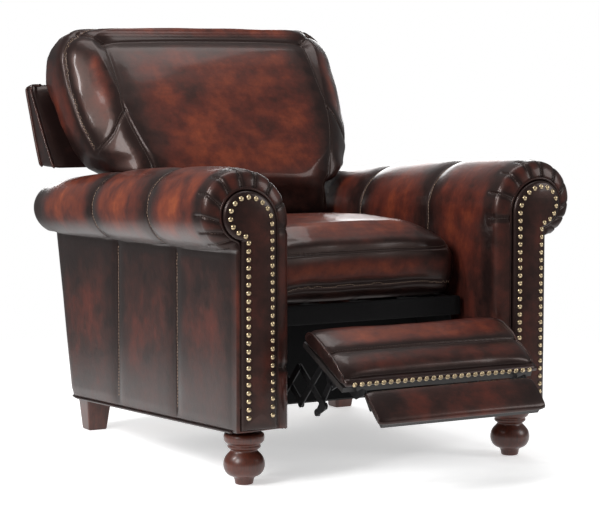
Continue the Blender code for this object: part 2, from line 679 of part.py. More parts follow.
def make_footrest():
    origin = at_pivot(pivots["panel"])
    low, high = PANEL_BOARD
    corners = ((-0.060, low), (0.126, low), (0.126, high), (-0.060, high))
    board = side_prism([on_panel(*c) for c in corners], -0.244, 0.244)
    place("footrest_board", board, finishes["frame_wood"], origin)
    base = high + GAP
    section = [(PANEL_REAR + 0.004, base), (PANEL_FRONT - 0.002, base), (PANEL_FRONT, base + 0.010),
               (PANEL_FRONT, PANEL_FACE - 0.014), (PANEL_FRONT - 0.010, PANEL_FACE - 0.004),
               (0.090, PANEL_FACE + 0.002), (0.030, PANEL_FACE + 0.009), (-0.030, PANEL_FACE + 0.011),
               (PANEL_REAR + 0.012, PANEL_FACE + 0.004), (PANEL_REAR, PANEL_FACE - 0.010),
               (PANEL_REAR, base + 0.010)]
    place("footrest_pad", pad_rings(PANEL_HALF_WIDTH, section, 0.10, on_panel), finishes["leather"], origin)
    make_footrest_trim(origin)
    reach = PANEL_BRACKETS[0] - GAP
    place("cross_tube", rod(-reach, reach, on_panel(-0.024, 0.011), 0.0075, 16), finishes["steel"], origin)
    for label, side in SIDES:
        outline = hull_outline([on_panel(0.0, 0.0), on_panel(*TILT_PIVOT), on_panel(-0.030, 0.011),
                                on_panel(0.060, 0.011)], 0.0105)
        low, high = PANEL_BRACKETS
        flat = side_prism(outline, side * low, side * high)
        bracket = place(f"panel_bracket_{label}", flat, finishes["steel"], origin)
        holes = ((on_panel(0.0, 0.0), HOLE_R), (on_panel(*TILT_PIVOT), TILT_HOLE_R))
        bores = merged([rod(side * (low - 0.002), side * (high + 0.002), c, r) for c, r in holes])
        boolean(bracket, place(f"panel_bracket_bores_{label}", bores, finishes["steel"]), "DIFFERENCE")
        arm = side_prism(hull_outline([on_panel(0.050, 0.0130), on_panel(0.128, 0.0130)], 0.0085),
                         side * (low + 0.0001), side * (high - 0.0001))
        boolean(bracket, place(f"flipper_hinge_arm_{label}", arm, finishes["steel"]), "UNION")
        neck = side_prism(hull_outline([on_panel(0.128, 0.0120), on_panel(*FLIPPER_HINGE)], 0.0075),
                          side * (low + 0.0002), side * (high - 0.0002))
        boolean(bracket, place(f"flipper_hinge_neck_{label}", neck, finishes["steel"]), "UNION")
        inner_end = side * (FLIPPER_BRACKETS[0] - 0.0005)
        shank = rod(inner_end, side * (high - 0.001), on_panel(*FLIPPER_HINGE), PIN_R)
        boolean(bracket, place(f"flipper_hinge_pin_{label}", shank, finishes["steel"]), "UNION")


def make_footrest_trim(origin):
    """The nailed strip along the footrest's front edge."""
    low, high = PANEL_BOARD[1] + 0.0115, PANEL_BOARD[1] + 0.0195
    near, far = PANEL_FRONT + GAP, PANEL_FRONT + GAP + TRIM_THICKNESS
    outline = [on_panel(near, low), on_panel(far, low), on_panel(far, high), on_panel(near, high)]
    half = PANEL_HALF_WIDTH - 0.016
    strip = place("footrest_nail_trim", side_prism(outline, -half, half), finishes["brass"], origin)
    centre = on_panel(far, (low + high) / 2)
    direction = Vector((0, -math.cos(PANEL_TILT), math.sin(PANEL_TILT)))
    count = int(2 * half / NAIL_PITCH)
    places = [NAIL_PITCH * (i - (count - 1) / 2) for i in range(count)]
    nails = merged([nail((x, centre.x, centre.y), direction) for x in places])
    boolean(strip, place("footrest_nails", nails, finishes["brass"]), "UNION")


def make_flipper():
    hinge = on_panel(*FLIPPER_HINGE)
    origin = at_pivot(hinge)
    near, far = FLIPPER_LENGTH
    low, high = FLIPPER_BOARD
    corners = ((near + 0.003, low), (far - 0.004, low), (far - 0.004, high), (near + 0.003, high))
    half = FLIPPER_BRACKETS[0] - 0.0005
    board = side_prism([on_flipper(*c) for c in corners], -half, half)
    place("flipper_board", board, finishes["frame_wood"], origin)
    base = high + GAP
    section = [(near, base), (far, base), (far + 0.002, base + 0.005), (far - 0.004, FLIPPER_FACE - 0.003),
               (0.070, FLIPPER_FACE), (0.030, FLIPPER_FACE), (near + 0.004, FLIPPER_FACE - 0.003),
               (near, base + 0.005)]
    pad = pad_rings(FLIPPER_HALF_WIDTH, section, 0.12, on_flipper)
    place("flipper_pad", pad, finishes["leather"], origin)
    for label, side in SIDES:
        outline = hull_outline([hinge, on_flipper(0.040, -0.0062)], 0.0058)
        flat = side_prism(outline, side * FLIPPER_BRACKETS[0], side * FLIPPER_BRACKETS[1])
        bracket = place(f"flipper_bracket_{label}", flat, finishes["steel"], origin)
        bore = rod(side * 0.2000, side * 0.2060, hinge, 0.0046)
        boolean(bracket, place(f"flipper_bore_{label}", bore, finishes["steel"]), "DIFFERENCE")


# ---------------------------------------------------------------- the chair

for leftover in list(bpy.data.objects):
    bpy.data.objects.remove(leftover, do_unlink=True)
finishes = make_finishes()
chair = bpy.data.objects.new("chair", None)
chair.location = (0.0, CHAIR_SHIFT_Y, 0.0)
bpy.context.collection.objects.link(chair)
pivots = linkage()
for label, side in SIDES:
    make_arm(label, side)
    make_feet(label, side)
    make_linkage(label, side)
make_base()
make_seat()
make_back()
make_footrest()
make_flipper()
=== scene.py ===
"""Looks of the push-back recliner: rubbed burgundy leather, brass nails, mahogany feet, black steel linkage.

Pieces are drawn with y counted from the front of the arms, and every new object stands CHAIR_SHIFT_Y along Y,
which puts it in the frame. The chair faces -Y; left and right are as seen from the front.
"""

import json
import math

import bmesh
import bpy
import numpy as np
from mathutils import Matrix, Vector
from mathutils.bvhtree import BVHTree
from mathutils.kdtree import KDTree

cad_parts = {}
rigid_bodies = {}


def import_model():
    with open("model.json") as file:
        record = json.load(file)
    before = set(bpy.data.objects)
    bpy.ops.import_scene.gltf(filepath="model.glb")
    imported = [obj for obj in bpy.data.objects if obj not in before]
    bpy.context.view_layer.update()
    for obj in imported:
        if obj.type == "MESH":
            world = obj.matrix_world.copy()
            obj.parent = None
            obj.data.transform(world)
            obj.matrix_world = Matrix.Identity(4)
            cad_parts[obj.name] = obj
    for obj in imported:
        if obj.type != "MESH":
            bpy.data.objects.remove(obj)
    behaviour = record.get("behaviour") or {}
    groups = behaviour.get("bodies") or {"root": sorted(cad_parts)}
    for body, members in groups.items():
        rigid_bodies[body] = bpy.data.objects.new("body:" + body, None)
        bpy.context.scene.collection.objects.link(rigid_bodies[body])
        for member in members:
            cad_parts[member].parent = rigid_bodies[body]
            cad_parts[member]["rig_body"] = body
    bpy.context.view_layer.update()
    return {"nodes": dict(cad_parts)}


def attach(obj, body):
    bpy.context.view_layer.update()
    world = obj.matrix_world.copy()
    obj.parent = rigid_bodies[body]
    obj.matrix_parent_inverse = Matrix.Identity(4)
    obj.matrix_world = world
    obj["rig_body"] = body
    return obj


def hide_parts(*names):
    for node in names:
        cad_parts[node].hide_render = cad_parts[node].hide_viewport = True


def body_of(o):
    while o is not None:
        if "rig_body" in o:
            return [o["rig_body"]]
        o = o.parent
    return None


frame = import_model()

SIDES = (("left", -1), ("right", 1))
CHAIR_SHIFT_Y = -0.44505

# Arms, as in the frame
ARM_INNER_X, ARM_OUTER_X = 0.270, 0.404
ARM_FRONT_Y, ARM_REAR_Y, ARM_REAR_RAKE = 0.022, 0.93, 0.247
ARM_BOTTOM_FRONT_Z, ARM_BOTTOM_REAR_Z = 0.125, 0.079
ROLL_X, ROLL_TOP_Z, ROLL_DROP, ROLL_OUT, ROLL_IN = 0.385, 0.695, 0.075, 0.095, 0.115
NECK_Z, NECK_DROP = 0.522, 0.030
BAY_SEAMS_Y = (0.310, 0.630)

# Arm front panel and its nails
PANEL_INNER_X, PANEL_OUTER_X, PANEL_BOTTOM_Z = 0.311, 0.396, 0.131
PANEL_HEAD_Z, PANEL_HEAD_R = 0.596, 0.054
NAIL_INSET, NAIL_R, NAIL_PITCH = 0.0135, 0.0056, 0.018

# Seat cushion
SEAT_HALF_WIDTH, SEAT_FRONT_Y, SEAT_REAR_Y = 0.2675, 0.130, 0.685
SEAT_BOTTOM_Z, SEAT_TOP_Z = 0.378, 0.512

# Back
BACK_NARROW_X, SHELL_TOP_Z = 0.256, 0.862
WING_FOOT_Z = 0.6555

# Footrest panels: distances along the panel (forward) and off it (towards its leather face)
PANEL_PIVOT = (-0.0366, 0.2599)
PANEL_TILT = math.radians(-25)
FLIPPER_HINGE = (0.150, 0.035)
FLIPPER_TILT = math.radians(-18.6)
PANEL_REAR, PANEL_FRONT, PANEL_FACE, PANEL_BASE = -0.070, 0.135, 0.065, 0.0343
PANEL_HALF_WIDTH, FLIPPER_HALF_WIDTH = 0.257, 0.2135


# ---------------------------------------------------------------- finishes

class Tone:
    """A socket of a finish. Sums written on it add Math nodes to the finish."""

    def __init__(self, socket):
        self.socket = socket

    def add(self, kind, settings=None, values=None, out=0):
        """Adds a node of this kind: its settings first, then its sockets' values or links."""
        tree = self.socket.id_data
        node = tree.nodes.new("ShaderNode" + kind)
        for name, value in (settings or {}).items():
            if name == "stops":
                set_stops(node.color_ramp, value)
            else:
                setattr(node, name, value)
        for name, value in (values or {}).items():
            if isinstance(value, Tone):
                tree.links.new(value.socket, node.inputs[name])
            else:
                node.inputs[name].default_value = value
        return Tone(node.outputs[out])

    def sum(self, operation, *values):
        return self.add("Math", {"operation": operation}, dict(enumerate(values)))

    def __add__(self, other):
        return self.sum("ADD", self, other)

    def __sub__(self, other):
        return self.sum("SUBTRACT", self, other)

    def __rsub__(self, other):
        return self.sum("SUBTRACT", other, self)

    def __mul__(self, other):
        return self.sum("MULTIPLY", self, other)

    __radd__, __rmul__ = __add__, __mul__

    def clamped(self):
        return self.add("Clamp", values={"Value": self})

    def stretched(self, x, y, z):
        """These coordinates with each axis scaled."""
        return self.add("VectorMath", {"operation": "MULTIPLY"}, {0: self, 1: (x, y, z)})

    def noise(self, scale, detail=3.0, roughness=0.55):
        values = {"Vector": self, "Scale": scale, "Detail": detail, "Roughness": roughness}
        return self.add("TexNoise", values=values)

    def cells(self, scale, feature="DISTANCE_TO_EDGE"):
        return self.add("TexVoronoi", {"feature": feature}, {"Vector": self, "Scale": scale})

    def ramp(self, *stops):
        return self.add("ValToRGB", {"stops": stops}, {"Fac": self})

    def bump(self, strength, distance, normal=None):
        values = {"Height": self, "Strength": strength, "Distance": distance}
        if normal:
            values["Normal"] = normal
        return self.add("Bump", values=values)

    def to(self, shader, name):
        self.socket.id_data.links.new(self.socket, shader.inputs[name])


def set_stops(ramp, stops):
    while len(ramp.elements) < len(stops):
        ramp.elements.new(0.5)
    for element, (at, colour) in zip(ramp.elements, stops):
        element.position = at
        element.color = (*colour, 1.0)


def new_finish(name, **constants):
    """A finish, its shader, and the coordinates of the piece it is on."""
    finish = bpy.data.materials.new(name)
    finish.use_nodes = True
    shader = finish.node_tree.nodes["Principled BSDF"]
    for socket, value in constants.items():
        shader.inputs[socket.replace("_", " ")].default_value = value
    where = Tone(shader.outputs[0]).add("TexCoord", out=3)
    return finish, shader, where


def painted_on(where, name):
    """A value stored on the piece's own points."""
    return where.add("Attribute", {"attribute_name": name}, out=2)


BLACK_BROWN = (0.0105, 0.0052, 0.0048)
DEEP_BROWN = (0.030, 0.0105, 0.0085)
OXBLOOD = (0.075, 0.0165, 0.0110)
RUSSET = (0.165, 0.034, 0.0150)
EMBER = (0.300, 0.072, 0.0240)


def make_leather(name, pebble, rubbing):
    """Dark dyed leather rubbed back by hand to russet where it swells, near black along its seams."""
    finish, shader, where = new_finish(name, Coat_Weight=0.20, Coat_Roughness=0.09, Coat_IOR=1.45,
                                       Specular_IOR_Level=0.30, Specular_Tint=(1.0, 0.70, 0.62, 1.0))
    rub = painted_on(where, "rub")
    seam = painted_on(where, "seam")
    clouds = where.noise(11.0, 5.0, 0.62)
    patches = where.noise(26.0, 3.0, 0.6)
    strokes = where.stretched(9.0, 55.0, 9.0).noise(1.0, 4.0, 0.7)
    flecks = where.noise(230.0, 2.0, 0.6)
    # The painted rub lifts the dye towards russet: rubbed leather, and painted sheen on the footrest pad's
    # crown.
    lightness = rub * rubbing * (clouds * 1.6 + 0.12) + (clouds - 0.5) * 0.50 + (patches - 0.5) * 0.45
    lightness = lightness + (strokes - 0.5) * (rub * 0.55) + (flecks - 0.5) * 0.14 - seam * 0.45
    dyes = ((0.0, BLACK_BROWN), (0.18, DEEP_BROWN), (0.42, OXBLOOD), (0.72, RUSSET), (1.0, EMBER))
    lightness.clamped().ramp(*dyes).to(shader, "Base Color")
    (flecks * 0.10 + patches * 0.14 + seam * 0.10 + 0.235).to(shader, "Roughness")
    grain = (1 - where.cells(430.0)) * 0.5 + where.noise(900.0, 2.0, 0.5) * 0.4
    creases = where.noise(70.0, 4.0, 0.65)
    broad = creases.bump(0.20, 0.0016)
    (grain * (seam * 1.6 + pebble)).bump(0.30, 0.0005, broad).to(shader, "Normal")
    return finish


def make_wood(name, dark, light, scale, coat, roughness):
    """Straight-grained wood, its grain running up Z."""
    finish, shader, where = new_finish(name, Coat_Weight=coat, Coat_Roughness=0.06)
    wander = where.stretched(6.0, 6.0, 1.6).noise(1.0, 3.0, 0.6)
    rings = where.stretched(scale, scale * 0.8, scale * 0.06).noise(1.0, 6.0, 0.7)
    pores = where.stretched(620.0, 620.0, 26.0).noise(1.0, 2.0, 0.6)
    tone = (rings * 0.9 + wander * 0.5 + (pores - 0.5) * 0.35 - 0.2).clamped()
    tone.ramp((0.25, dark), (0.80, light)).to(shader, "Base Color")
    (pores * 0.14 + wander * 0.10 + roughness).to(shader, "Roughness")
    (pores * 0.5 + rings * 0.5).bump(0.16, 0.0006).to(shader, "Normal")
    return finish


def make_metal(name, dark, light, roughness, scale=1.0, metallic=1.0):
    """Metal with a patina that lies in clouds and fine rubbing on top."""
    finish, shader, where = new_finish(name, Metallic=metallic)
    clouds = where.noise(95.0 * scale, 4.0, 0.65)
    rubs = where.stretched(40.0, 900.0, 900.0).noise(scale, 2.0, 0.6)
    tone = (clouds * 1.3 + (rubs - 0.5) * 0.5 - 0.15).clamped()
    tone.ramp((0.15, dark), (0.85, light)).to(shader, "Base Color")
    (clouds * 0.22 + rubs * 0.10 + roughness).to(shader, "Roughness")
    (clouds * 0.6 + rubs * 0.3).bump(0.12, 0.0004).to(shader, "Normal")
    return finish


def make_thread():
    """Waxed linen thread, its two plies turning round each other."""
    finish, shader, where = new_finish("tan_thread", Roughness=0.62, Sheen_Weight=0.2)
    shade = where.noise(160.0, 3.0, 0.6)
    plies = where.cells(1500.0, "F1")
    tone = (shade * 0.8 + plies * 0.3).clamped()
    tone.ramp((0.2, (0.20, 0.115, 0.070)), (0.8, (0.52, 0.36, 0.25))).to(shader, "Base Color")
    plies.bump(0.5, 0.0003).to(shader, "Normal")
    return finish


def make_dark_thread():
    """Dyed thread that shows only as a fine ridge beside the seam."""
    finish, shader, where = new_finish("dark_thread", Sheen_Weight=0.1)
    shade = where.noise(120.0, 3.0, 0.6)
    shade.ramp((0.3, (0.020, 0.011, 0.009)), (0.75, (0.115, 0.060, 0.040))).to(shader, "Base Color")
    (shade * 0.3 + 0.40).to(shader, "Roughness")
    where.cells(1500.0, "F1").bump(0.5, 0.0003).to(shader, "Normal")
    return finish


def make_cloth_and_shade_finish():
    """The black spun cloth tacked under the chair, also laid over the seat's front rail as painted shade."""
    finish, shader, where = new_finish("black_cloth_painted_shade", Specular_IOR_Level=0.15)
    fibres = where.noise(700.0, 4.0, 0.75)
    fibres.ramp((0.3, (0.002, 0.002, 0.0022)), (0.75, (0.010, 0.0095, 0.010))).to(shader, "Base Color")
    (fibres * 0.15 + 0.78).to(shader, "Roughness")
    fibres.bump(0.5, 0.0006).to(shader, "Normal")
    return finish


def make_floor_finish():
    """Pale floor that thins out into the white round it."""
    finish, shader, where = new_finish("pale_floor", Roughness=0.9,
                                       Emission_Color=(1.0, 1.0, 1.0, 1.0), Emission_Strength=0.5)
    shade = where.noise(0.6, 2.0, 0.5)
    shade.ramp((0.3, (0.93, 0.93, 0.93)), (0.7, (0.96, 0.96, 0.96))).to(shader, "Base Color")
    far = where.add("VectorMath", {"operation": "LENGTH"}, {0: where}, out=1)
    (far * -0.9 + 1.9).clamped().to(shader, "Alpha")
    return finish


# ---------------------------------------------------------------- making pieces

def add_piece(name, points, faces, finish, body):
    """A smooth mesh piece drawn in the chair's own places, riding on a body."""
    mesh = bpy.data.meshes.new(name)
    mesh.from_pydata(np.asarray(points, float).reshape(-1, 3).tolist(), [], faces)
    bm = bmesh.new()
    bm.from_mesh(mesh)
    bmesh.ops.recalc_face_normals(bm, faces=bm.faces)
    bm.to_mesh(mesh)
    bm.free()
    mesh.shade_smooth()
    mesh.materials.append(finish)
    piece = bpy.data.objects.new(name, mesh)
    piece.location = (0.0, CHAIR_SHIFT_Y, 0.0)
    bpy.context.collection.objects.link(piece)
    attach(piece, body)
    return piece


def grid_faces(rows, columns, wrap=True):
    i, j = np.meshgrid(np.arange(rows - 1), np.arange(columns if wrap else columns - 1), indexing="ij")
    k = (j + 1) % columns
    corners = [i * columns + j, i * columns + k, (i + 1) * columns + k, (i + 1) * columns + j]
    return np.stack(corners, -1).reshape(-1, 4).tolist()


def closed_skin(rings):
    """Points and faces of a skin through closed rings, with both ends capped."""
    rings = np.asarray(rings, float)
    count, around = rings.shape[:2]
    faces = grid_faces(count, around)
    faces.append(list(range(around))[::-1])
    faces.append([(count - 1) * around + i for i in range(around)])
    return rings.reshape(-1, 3), faces


def sweep(path, radius, sides=8):
    """Points and faces of a round cord along a path."""
    path = np.asarray(path, float)
    ahead, behind = np.roll(path, -1, 0), np.roll(path, 1, 0)
    ahead[-1], behind[0] = path[-1], path[0]
    along = ahead - behind
    along /= np.linalg.norm(along, axis=1)[:, None]
    across = np.cross(along[0], (0.0, 0.0, 1.0) if abs(along[0][2]) < 0.9 else (1.0, 0.0, 0.0))
    rings = []
    for point, direction in zip(path, along):
        across = across - direction * across.dot(direction)
        across /= np.linalg.norm(across)
        other = np.cross(direction, across)
        turns = [2 * math.pi * i / sides for i in range(sides)]
        rings.append([point + (across * math.cos(a) + other * math.sin(a)) * radius for a in turns])
    return closed_skin(rings)


def gathered(parts):
    """Several (points, faces) as one."""
    points, faces, start = [], [], 0
    for some, their_faces in parts:
        points.append(np.asarray(some, float).reshape(-1, 3))
        faces += [[i + start for i in face] for face in their_faces]
        start += len(points[-1])
    return np.concatenate(points), faces


def curve_through(stops, spacing=0.003):
    """Evenly spaced points on a smooth line through the stops."""
    stops = np.asarray(stops, float)
    before = np.vstack([2 * stops[0] - stops[1], stops[:-1]])
    after = np.vstack([stops[1:], 2 * stops[-1] - stops[-2]])
    slopes = (after - before) / 2
    points = []
    for k in range(len(stops) - 1):
        steps = max(int(np.linalg.norm(stops[k + 1] - stops[k]) / spacing), 2)
        for t in np.arange(steps) / steps:
            points.append(
                (2 * t ** 3 - 3 * t ** 2 + 1) * stops[k] + (t ** 3 - 2 * t ** 2 + t) * slopes[k]
                + (3 * t ** 2 - 2 * t ** 3) * stops[k + 1] + (t ** 3 - t ** 2) * slopes[k + 1])
    points.append(stops[-1])
    return np.array(points)


def points_of(piece):
    points = np.zeros(len(piece.data.vertices) * 3, np.float32)
    piece.data.vertices.foreach_get("co", points)
    return points.reshape(-1, 3).astype(float)


def set_points(piece, points):
    piece.data.vertices.foreach_set("co", np.asarray(points, np.float32).ravel())
    piece.data.update()


def normals_of(piece):
    normals = np.zeros(len(piece.data.vertices) * 3, np.float32)
    piece.data.vertices.foreach_get("normal", normals)
    return normals.reshape(-1, 3).astype(float)


def swell(piece, amounts):
    """Moves each point along its own normal."""
    set_points(piece, points_of(piece) + normals_of(piece) * np.asarray(amounts)[:, None])


def paint(piece, name, values):
    layer = piece.data.attributes.get(name) or piece.data.attributes.new(name, "FLOAT", "POINT")
    layer.data.foreach_set("value", np.asarray(values, np.float32))


def painted(piece, name):
    values = np.zeros(len(piece.data.vertices), np.float32)
    layer = piece.data.attributes.get(name)
    if layer:
        layer.data.foreach_get("value", values)
    return values.astype(float)


def distance_to(points, path, reach):
    """Each point's distance to a path, or reach where it is further."""
    tree = KDTree(len(path))
    for i, point in enumerate(path):
        tree.insert(point, i)
    tree.balance()
    found = np.full(len(points), reach)
    low, high = np.min(path, 0) - reach, np.max(path, 0) + reach
    for i in np.flatnonzero(((points > low) & (points < high)).all(1)):
        found[i] = min(tree.find(points[i])[2], reach)
    return found


def sew(piece, path, depth=0.0028, width=0.0036, pull=0.0, pull_width=0.03, shade=0.030):
    """Draws the surface in along a seam: a narrow groove in a broad dip, and the dye darker there."""
    path = on_surface(piece, path)
    away = distance_to(points_of(piece), path, 0.12)
    swell(piece, -depth * np.exp(-(away / width) ** 2) - pull * np.exp(-(away / pull_width) ** 2))
    paint(piece, "seam", np.maximum(painted(piece, "seam"), np.exp(-(away / (width * 2.4)) ** 2)))
    paint(piece, "rub", painted(piece, "rub") * (1 - np.exp(-(away / shade) ** 2)))
    return path


def surface_of(piece):
    graph = bpy.context.evaluated_depsgraph_get()
    bpy.context.view_layer.update()
    return BVHTree.FromObject(piece, graph)


def on_surface(piece, path, lift=0.0):
    tree = surface_of(piece)
    points = []
    for point in path:
        spot, normal = tree.find_nearest(Vector(point))[:2]
        points.append(spot + normal * lift)
    return np.array(points)


def topstitch(name, piece, paths, finish, gaps=(-0.0042, 0.0042),
              pitch=0.0068, length=0.0044, radius=0.00055):
    """Rows of stitches beside seams that lie on a piece, as one object riding with it."""
    tree = surface_of(piece)
    parts = []
    for path in paths:
        for gap in gaps:
            row = []
            for i, point in enumerate(path):
                ahead = Vector(path[min(i + 1, len(path) - 1)]) - Vector(path[max(i - 1, 0)])
                normal = tree.find_nearest(Vector(point))[1]
                aside = Vector(point) + ahead.cross(normal).normalized() * gap
                spot, normal = tree.find_nearest(aside)[:2]
                row.append(spot + normal * radius * 0.5)
            parts += stitches_along(row, pitch, length, radius)
    points, faces = gathered(parts)
    return add_piece(name, points, faces, finish, body_of(piece)[0])


def stitches_along(row, pitch, length, radius):
    row = np.array(row)
    steps = np.linalg.norm(np.diff(row, axis=0), axis=1)
    run = np.concatenate([[0.0], np.cumsum(steps)])
    found = []
    for k in range(int(run[-1] / pitch)):
        at = np.array([k * pitch, k * pitch + length * 0.2, k * pitch + length * 0.8, k * pitch + length])
        line = np.stack([np.interp(at, run, row[:, axis]) for axis in range(3)], 1)
        found.append(sweep_tapered(line, radius))
    return found


def sweep_tapered(line, radius):
    points, faces = sweep(line, radius, sides=5)
    rings = points.reshape(len(line), 5, 3)
    rings[0] = line[0] + (rings[0] - line[0]) * 0.4
    rings[-1] = line[-1] + (rings[-1] - line[-1]) * 0.4
    return rings.reshape(-1, 3), faces


def apply_step(piece, kind, **settings):
    """Adds a modifier and applies it at once."""
    step = piece.modifiers.new(kind.lower(), kind)
    for name, value in settings.items():
        setattr(step, name, value)
    with bpy.context.temp_override(object=piece, active_object=piece, selected_objects=[piece]):
        bpy.ops.object.modifier_apply(modifier=step.name)


def plump(piece, voxel, most, evenness, pressure=4.0, frames=20):
    """Fills a cover as its stuffing does: it swells under pressure, and no point moves further than most.

    Firm foam under the leather evens the swelling out, so that the cover stays taut.
    """
    apply_step(piece, "REMESH", mode="VOXEL", voxel_size=voxel, use_smooth_shade=True)
    before = points_of(piece)
    step = piece.modifiers.new("stuffing", "CLOTH")
    step.settings.use_pressure = True
    step.settings.uniform_pressure_force = pressure
    step.settings.quality = 5
    step.settings.effector_weights.gravity = 0.0
    step.point_cache.frame_start, step.point_cache.frame_end = 1, frames
    for number in range(1, frames + 1):
        bpy.context.scene.frame_set(number)
    graph = bpy.context.evaluated_depsgraph_get()
    stuffed = piece.evaluated_get(graph).to_mesh()
    after = np.array([v.co for v in stuffed.vertices], float).reshape(-1, 3)
    piece.evaluated_get(graph).to_mesh_clear()
    piece.modifiers.remove(step)
    bpy.context.scene.frame_set(1)
    moved = evened(piece, after - before, evenness)
    far = np.linalg.norm(moved, axis=1)[:, None]
    set_points(piece, before + moved * np.minimum(1.0, most / np.maximum(far, 1e-9)))
    apply_step(piece, "SMOOTH", factor=0.5, iterations=7)
    apply_step(piece, "SUBSURF", levels=1)
    piece.data.shade_smooth()


def evened(piece, moved, rounds):
    """Each point's move averaged with its neighbours' moves, over and over."""
    ends = np.zeros(len(piece.data.edges) * 2, np.int32)
    piece.data.edges.foreach_get("vertices", ends)
    one, other = ends.reshape(-1, 2).T
    count = np.bincount(np.concatenate([one, other]), minlength=len(moved))
    for _ in range(rounds):
        total = np.stack([np.bincount(one, moved[other, axis], len(moved))
                          + np.bincount(other, moved[one, axis], len(moved)) for axis in range(3)], 1)
        moved = 0.4 * moved + 0.6 * total / count[:, None]
    return moved


def between_stops(stops, at):
    return np.interp(at, [s for s, _ in stops], [v for _, v in stops])


def fade(values, start, end):
    """0 before start, 1 after end, smooth between."""
    t = np.clip((np.asarray(values, float) - start) / (end - start), 0.0, 1.0)
    return t * t * (3 - 2 * t)


# ---------------------------------------------------------------- arms

# How many points each stretch of an arm's section has, in order round it, and where the later ones start
WALL, INNER_ROLL, OUTER_ROLL, TUCK, OUTER_SIDE, UNDERSIDE = 40, 84, 110, 8, 40, 10
TUCK_START = WALL + INNER_ROLL + OUTER_ROLL
SIDE_START = TUCK_START + TUCK
SIDE_END = SIDE_START + OUTER_SIDE
ROLL_END = -60.5


def arm_outline(along, inset=0.0):
    """The arm's section as (x, z) points, in the same order and number everywhere along it."""
    nominal_y = ARM_FRONT_Y + along * (1.02 - ARM_FRONT_Y)
    top = ROLL_TOP_Z - ROLL_DROP * (max(nominal_y, 0.0) / 0.95) ** 1.6 - inset
    neck = NECK_Z - NECK_DROP * along
    bottom = ARM_BOTTOM_FRONT_Z + (ARM_BOTTOM_REAR_Z - ARM_BOTTOM_FRONT_Z) * along + inset
    rise = (top - neck) * 0.53
    out = ROLL_OUT * (1 - 0.22 * along ** 1.6)
    inner, outer = ARM_INNER_X + inset, ARM_OUTER_X - inset
    points = [(inner, z) for z in np.linspace(bottom, top - 0.12, WALL, endpoint=False)]
    for angle in np.radians(np.linspace(180, 90, INNER_ROLL, endpoint=False)):
        points.append((ROLL_X + (ROLL_IN - inset) * math.cos(angle), top - 0.12 + 0.12 * math.sin(angle)))
    for angle in np.radians(np.linspace(90, ROLL_END, OUTER_ROLL)):
        points.append((ROLL_X + (out - inset) * math.cos(angle), top - rise + rise * math.sin(angle)))
    last = points[-1]
    points += [(x, neck + (last[1] - neck) * (x - outer) / (last[0] - outer))
               for x in np.linspace(last[0], outer, TUCK + 1)[1:]]
    points += [(outer, z) for z in np.linspace(neck, bottom, OUTER_SIDE + 1)[1:]]
    points += [(x, bottom) for x in np.linspace(outer, inner, UNDERSIDE + 1)[1:-1]]
    return np.array(points)


def panel_outline():
    """The keyhole outline of the arm's front panel, point for point with arm_outline."""
    inner_r = ROLL_X - PANEL_INNER_X
    centre_z = PANEL_HEAD_Z + PANEL_HEAD_R - inner_r
    points = [(PANEL_INNER_X, z) for z in np.linspace(PANEL_BOTTOM_Z, centre_z, WALL, endpoint=False)]
    for angle in np.radians(np.linspace(180, 90, INNER_ROLL, endpoint=False)):
        points.append((ROLL_X + inner_r * math.cos(angle), centre_z + inner_r * math.sin(angle)))
    lowest = -math.degrees(math.acos((PANEL_OUTER_X - ROLL_X) / PANEL_HEAD_R))
    for angle in np.radians(np.linspace(90, lowest, OUTER_ROLL)):
        x, z = PANEL_HEAD_R * math.cos(angle), PANEL_HEAD_R * math.sin(angle)
        points.append((ROLL_X + x, PANEL_HEAD_Z + z))
    under_head = points[-1][1]
    points += [(PANEL_OUTER_X, z) for z in np.linspace(under_head, NECK_Z, TUCK + 1)[1:]]
    points += [(PANEL_OUTER_X, z) for z in np.linspace(NECK_Z, PANEL_BOTTOM_Z, OUTER_SIDE + 1)[1:]]
    points += [(x, PANEL_BOTTOM_Z) for x in np.linspace(PANEL_OUTER_X, PANEL_INNER_X, UNDERSIDE + 1)[1:-1]]
    return np.array(points)


def bay_stations():
    """Stations along an arm, close together at the front border and at the bay seams."""
    stations = set(np.round(np.linspace(0.016, 0.955, 68), 5))
    stations |= set(np.round(np.linspace(0.016, 0.07, 20), 5))
    for seam in BAY_SEAMS_Y:
        centre = (seam - ARM_FRONT_Y) / 0.985
        stations |= set(np.round(np.linspace(centre - 0.05, centre + 0.035, 34), 5))
    return sorted(stations)


def arm_rows(side):
    """Rings of the arm's skin: the border round the front panel, the arm's length, its rounded rear."""
    panel, full = panel_outline(), arm_outline(0.0)
    wide = np.linalg.norm(full - panel, axis=1)
    turn = np.minimum(0.026, wide * 0.8)
    rows = []
    for phi in np.linspace(0.0, 0.5 * math.pi, 30):
        share = math.sin(phi)
        flat = panel + (full - panel) * share
        y = 0.0095 + turn * (1 - math.cos(phi)) + 0.011 * math.exp(-(share / 0.10) ** 2)
        rows.append(np.stack([side * flat[:, 0], y, flat[:, 1]], 1))
    for along in bay_stations():
        rows.append(arm_ring(side, along, 0.0))
    for turn in np.linspace(0.1, 0.5 * math.pi, 9):
        rows.append(arm_ring(side, 0.960 + 0.040 * math.sin(turn), 0.026 * (1 - math.cos(turn))))
    return np.array(rows)


def arm_ring(side, along, inset):
    flat = arm_outline(along, inset)
    rear = ARM_REAR_Y + ARM_REAR_RAKE * (flat[:, 1] - ARM_BOTTOM_REAR_Z)
    return np.stack([side * flat[:, 0], ARM_FRONT_Y + along * (rear - ARM_FRONT_Y), flat[:, 1]], 1)


def roll_column(angle):
    """The section's column at an angle round the roll, 180 inside, 90 on top and below 0 outside."""
    if angle >= 90:
        return WALL + (180 - angle) / 90 * INNER_ROLL
    return WALL + INNER_ROLL + (90 - angle) / (90 - ROLL_END) * (OUTER_ROLL - 1)


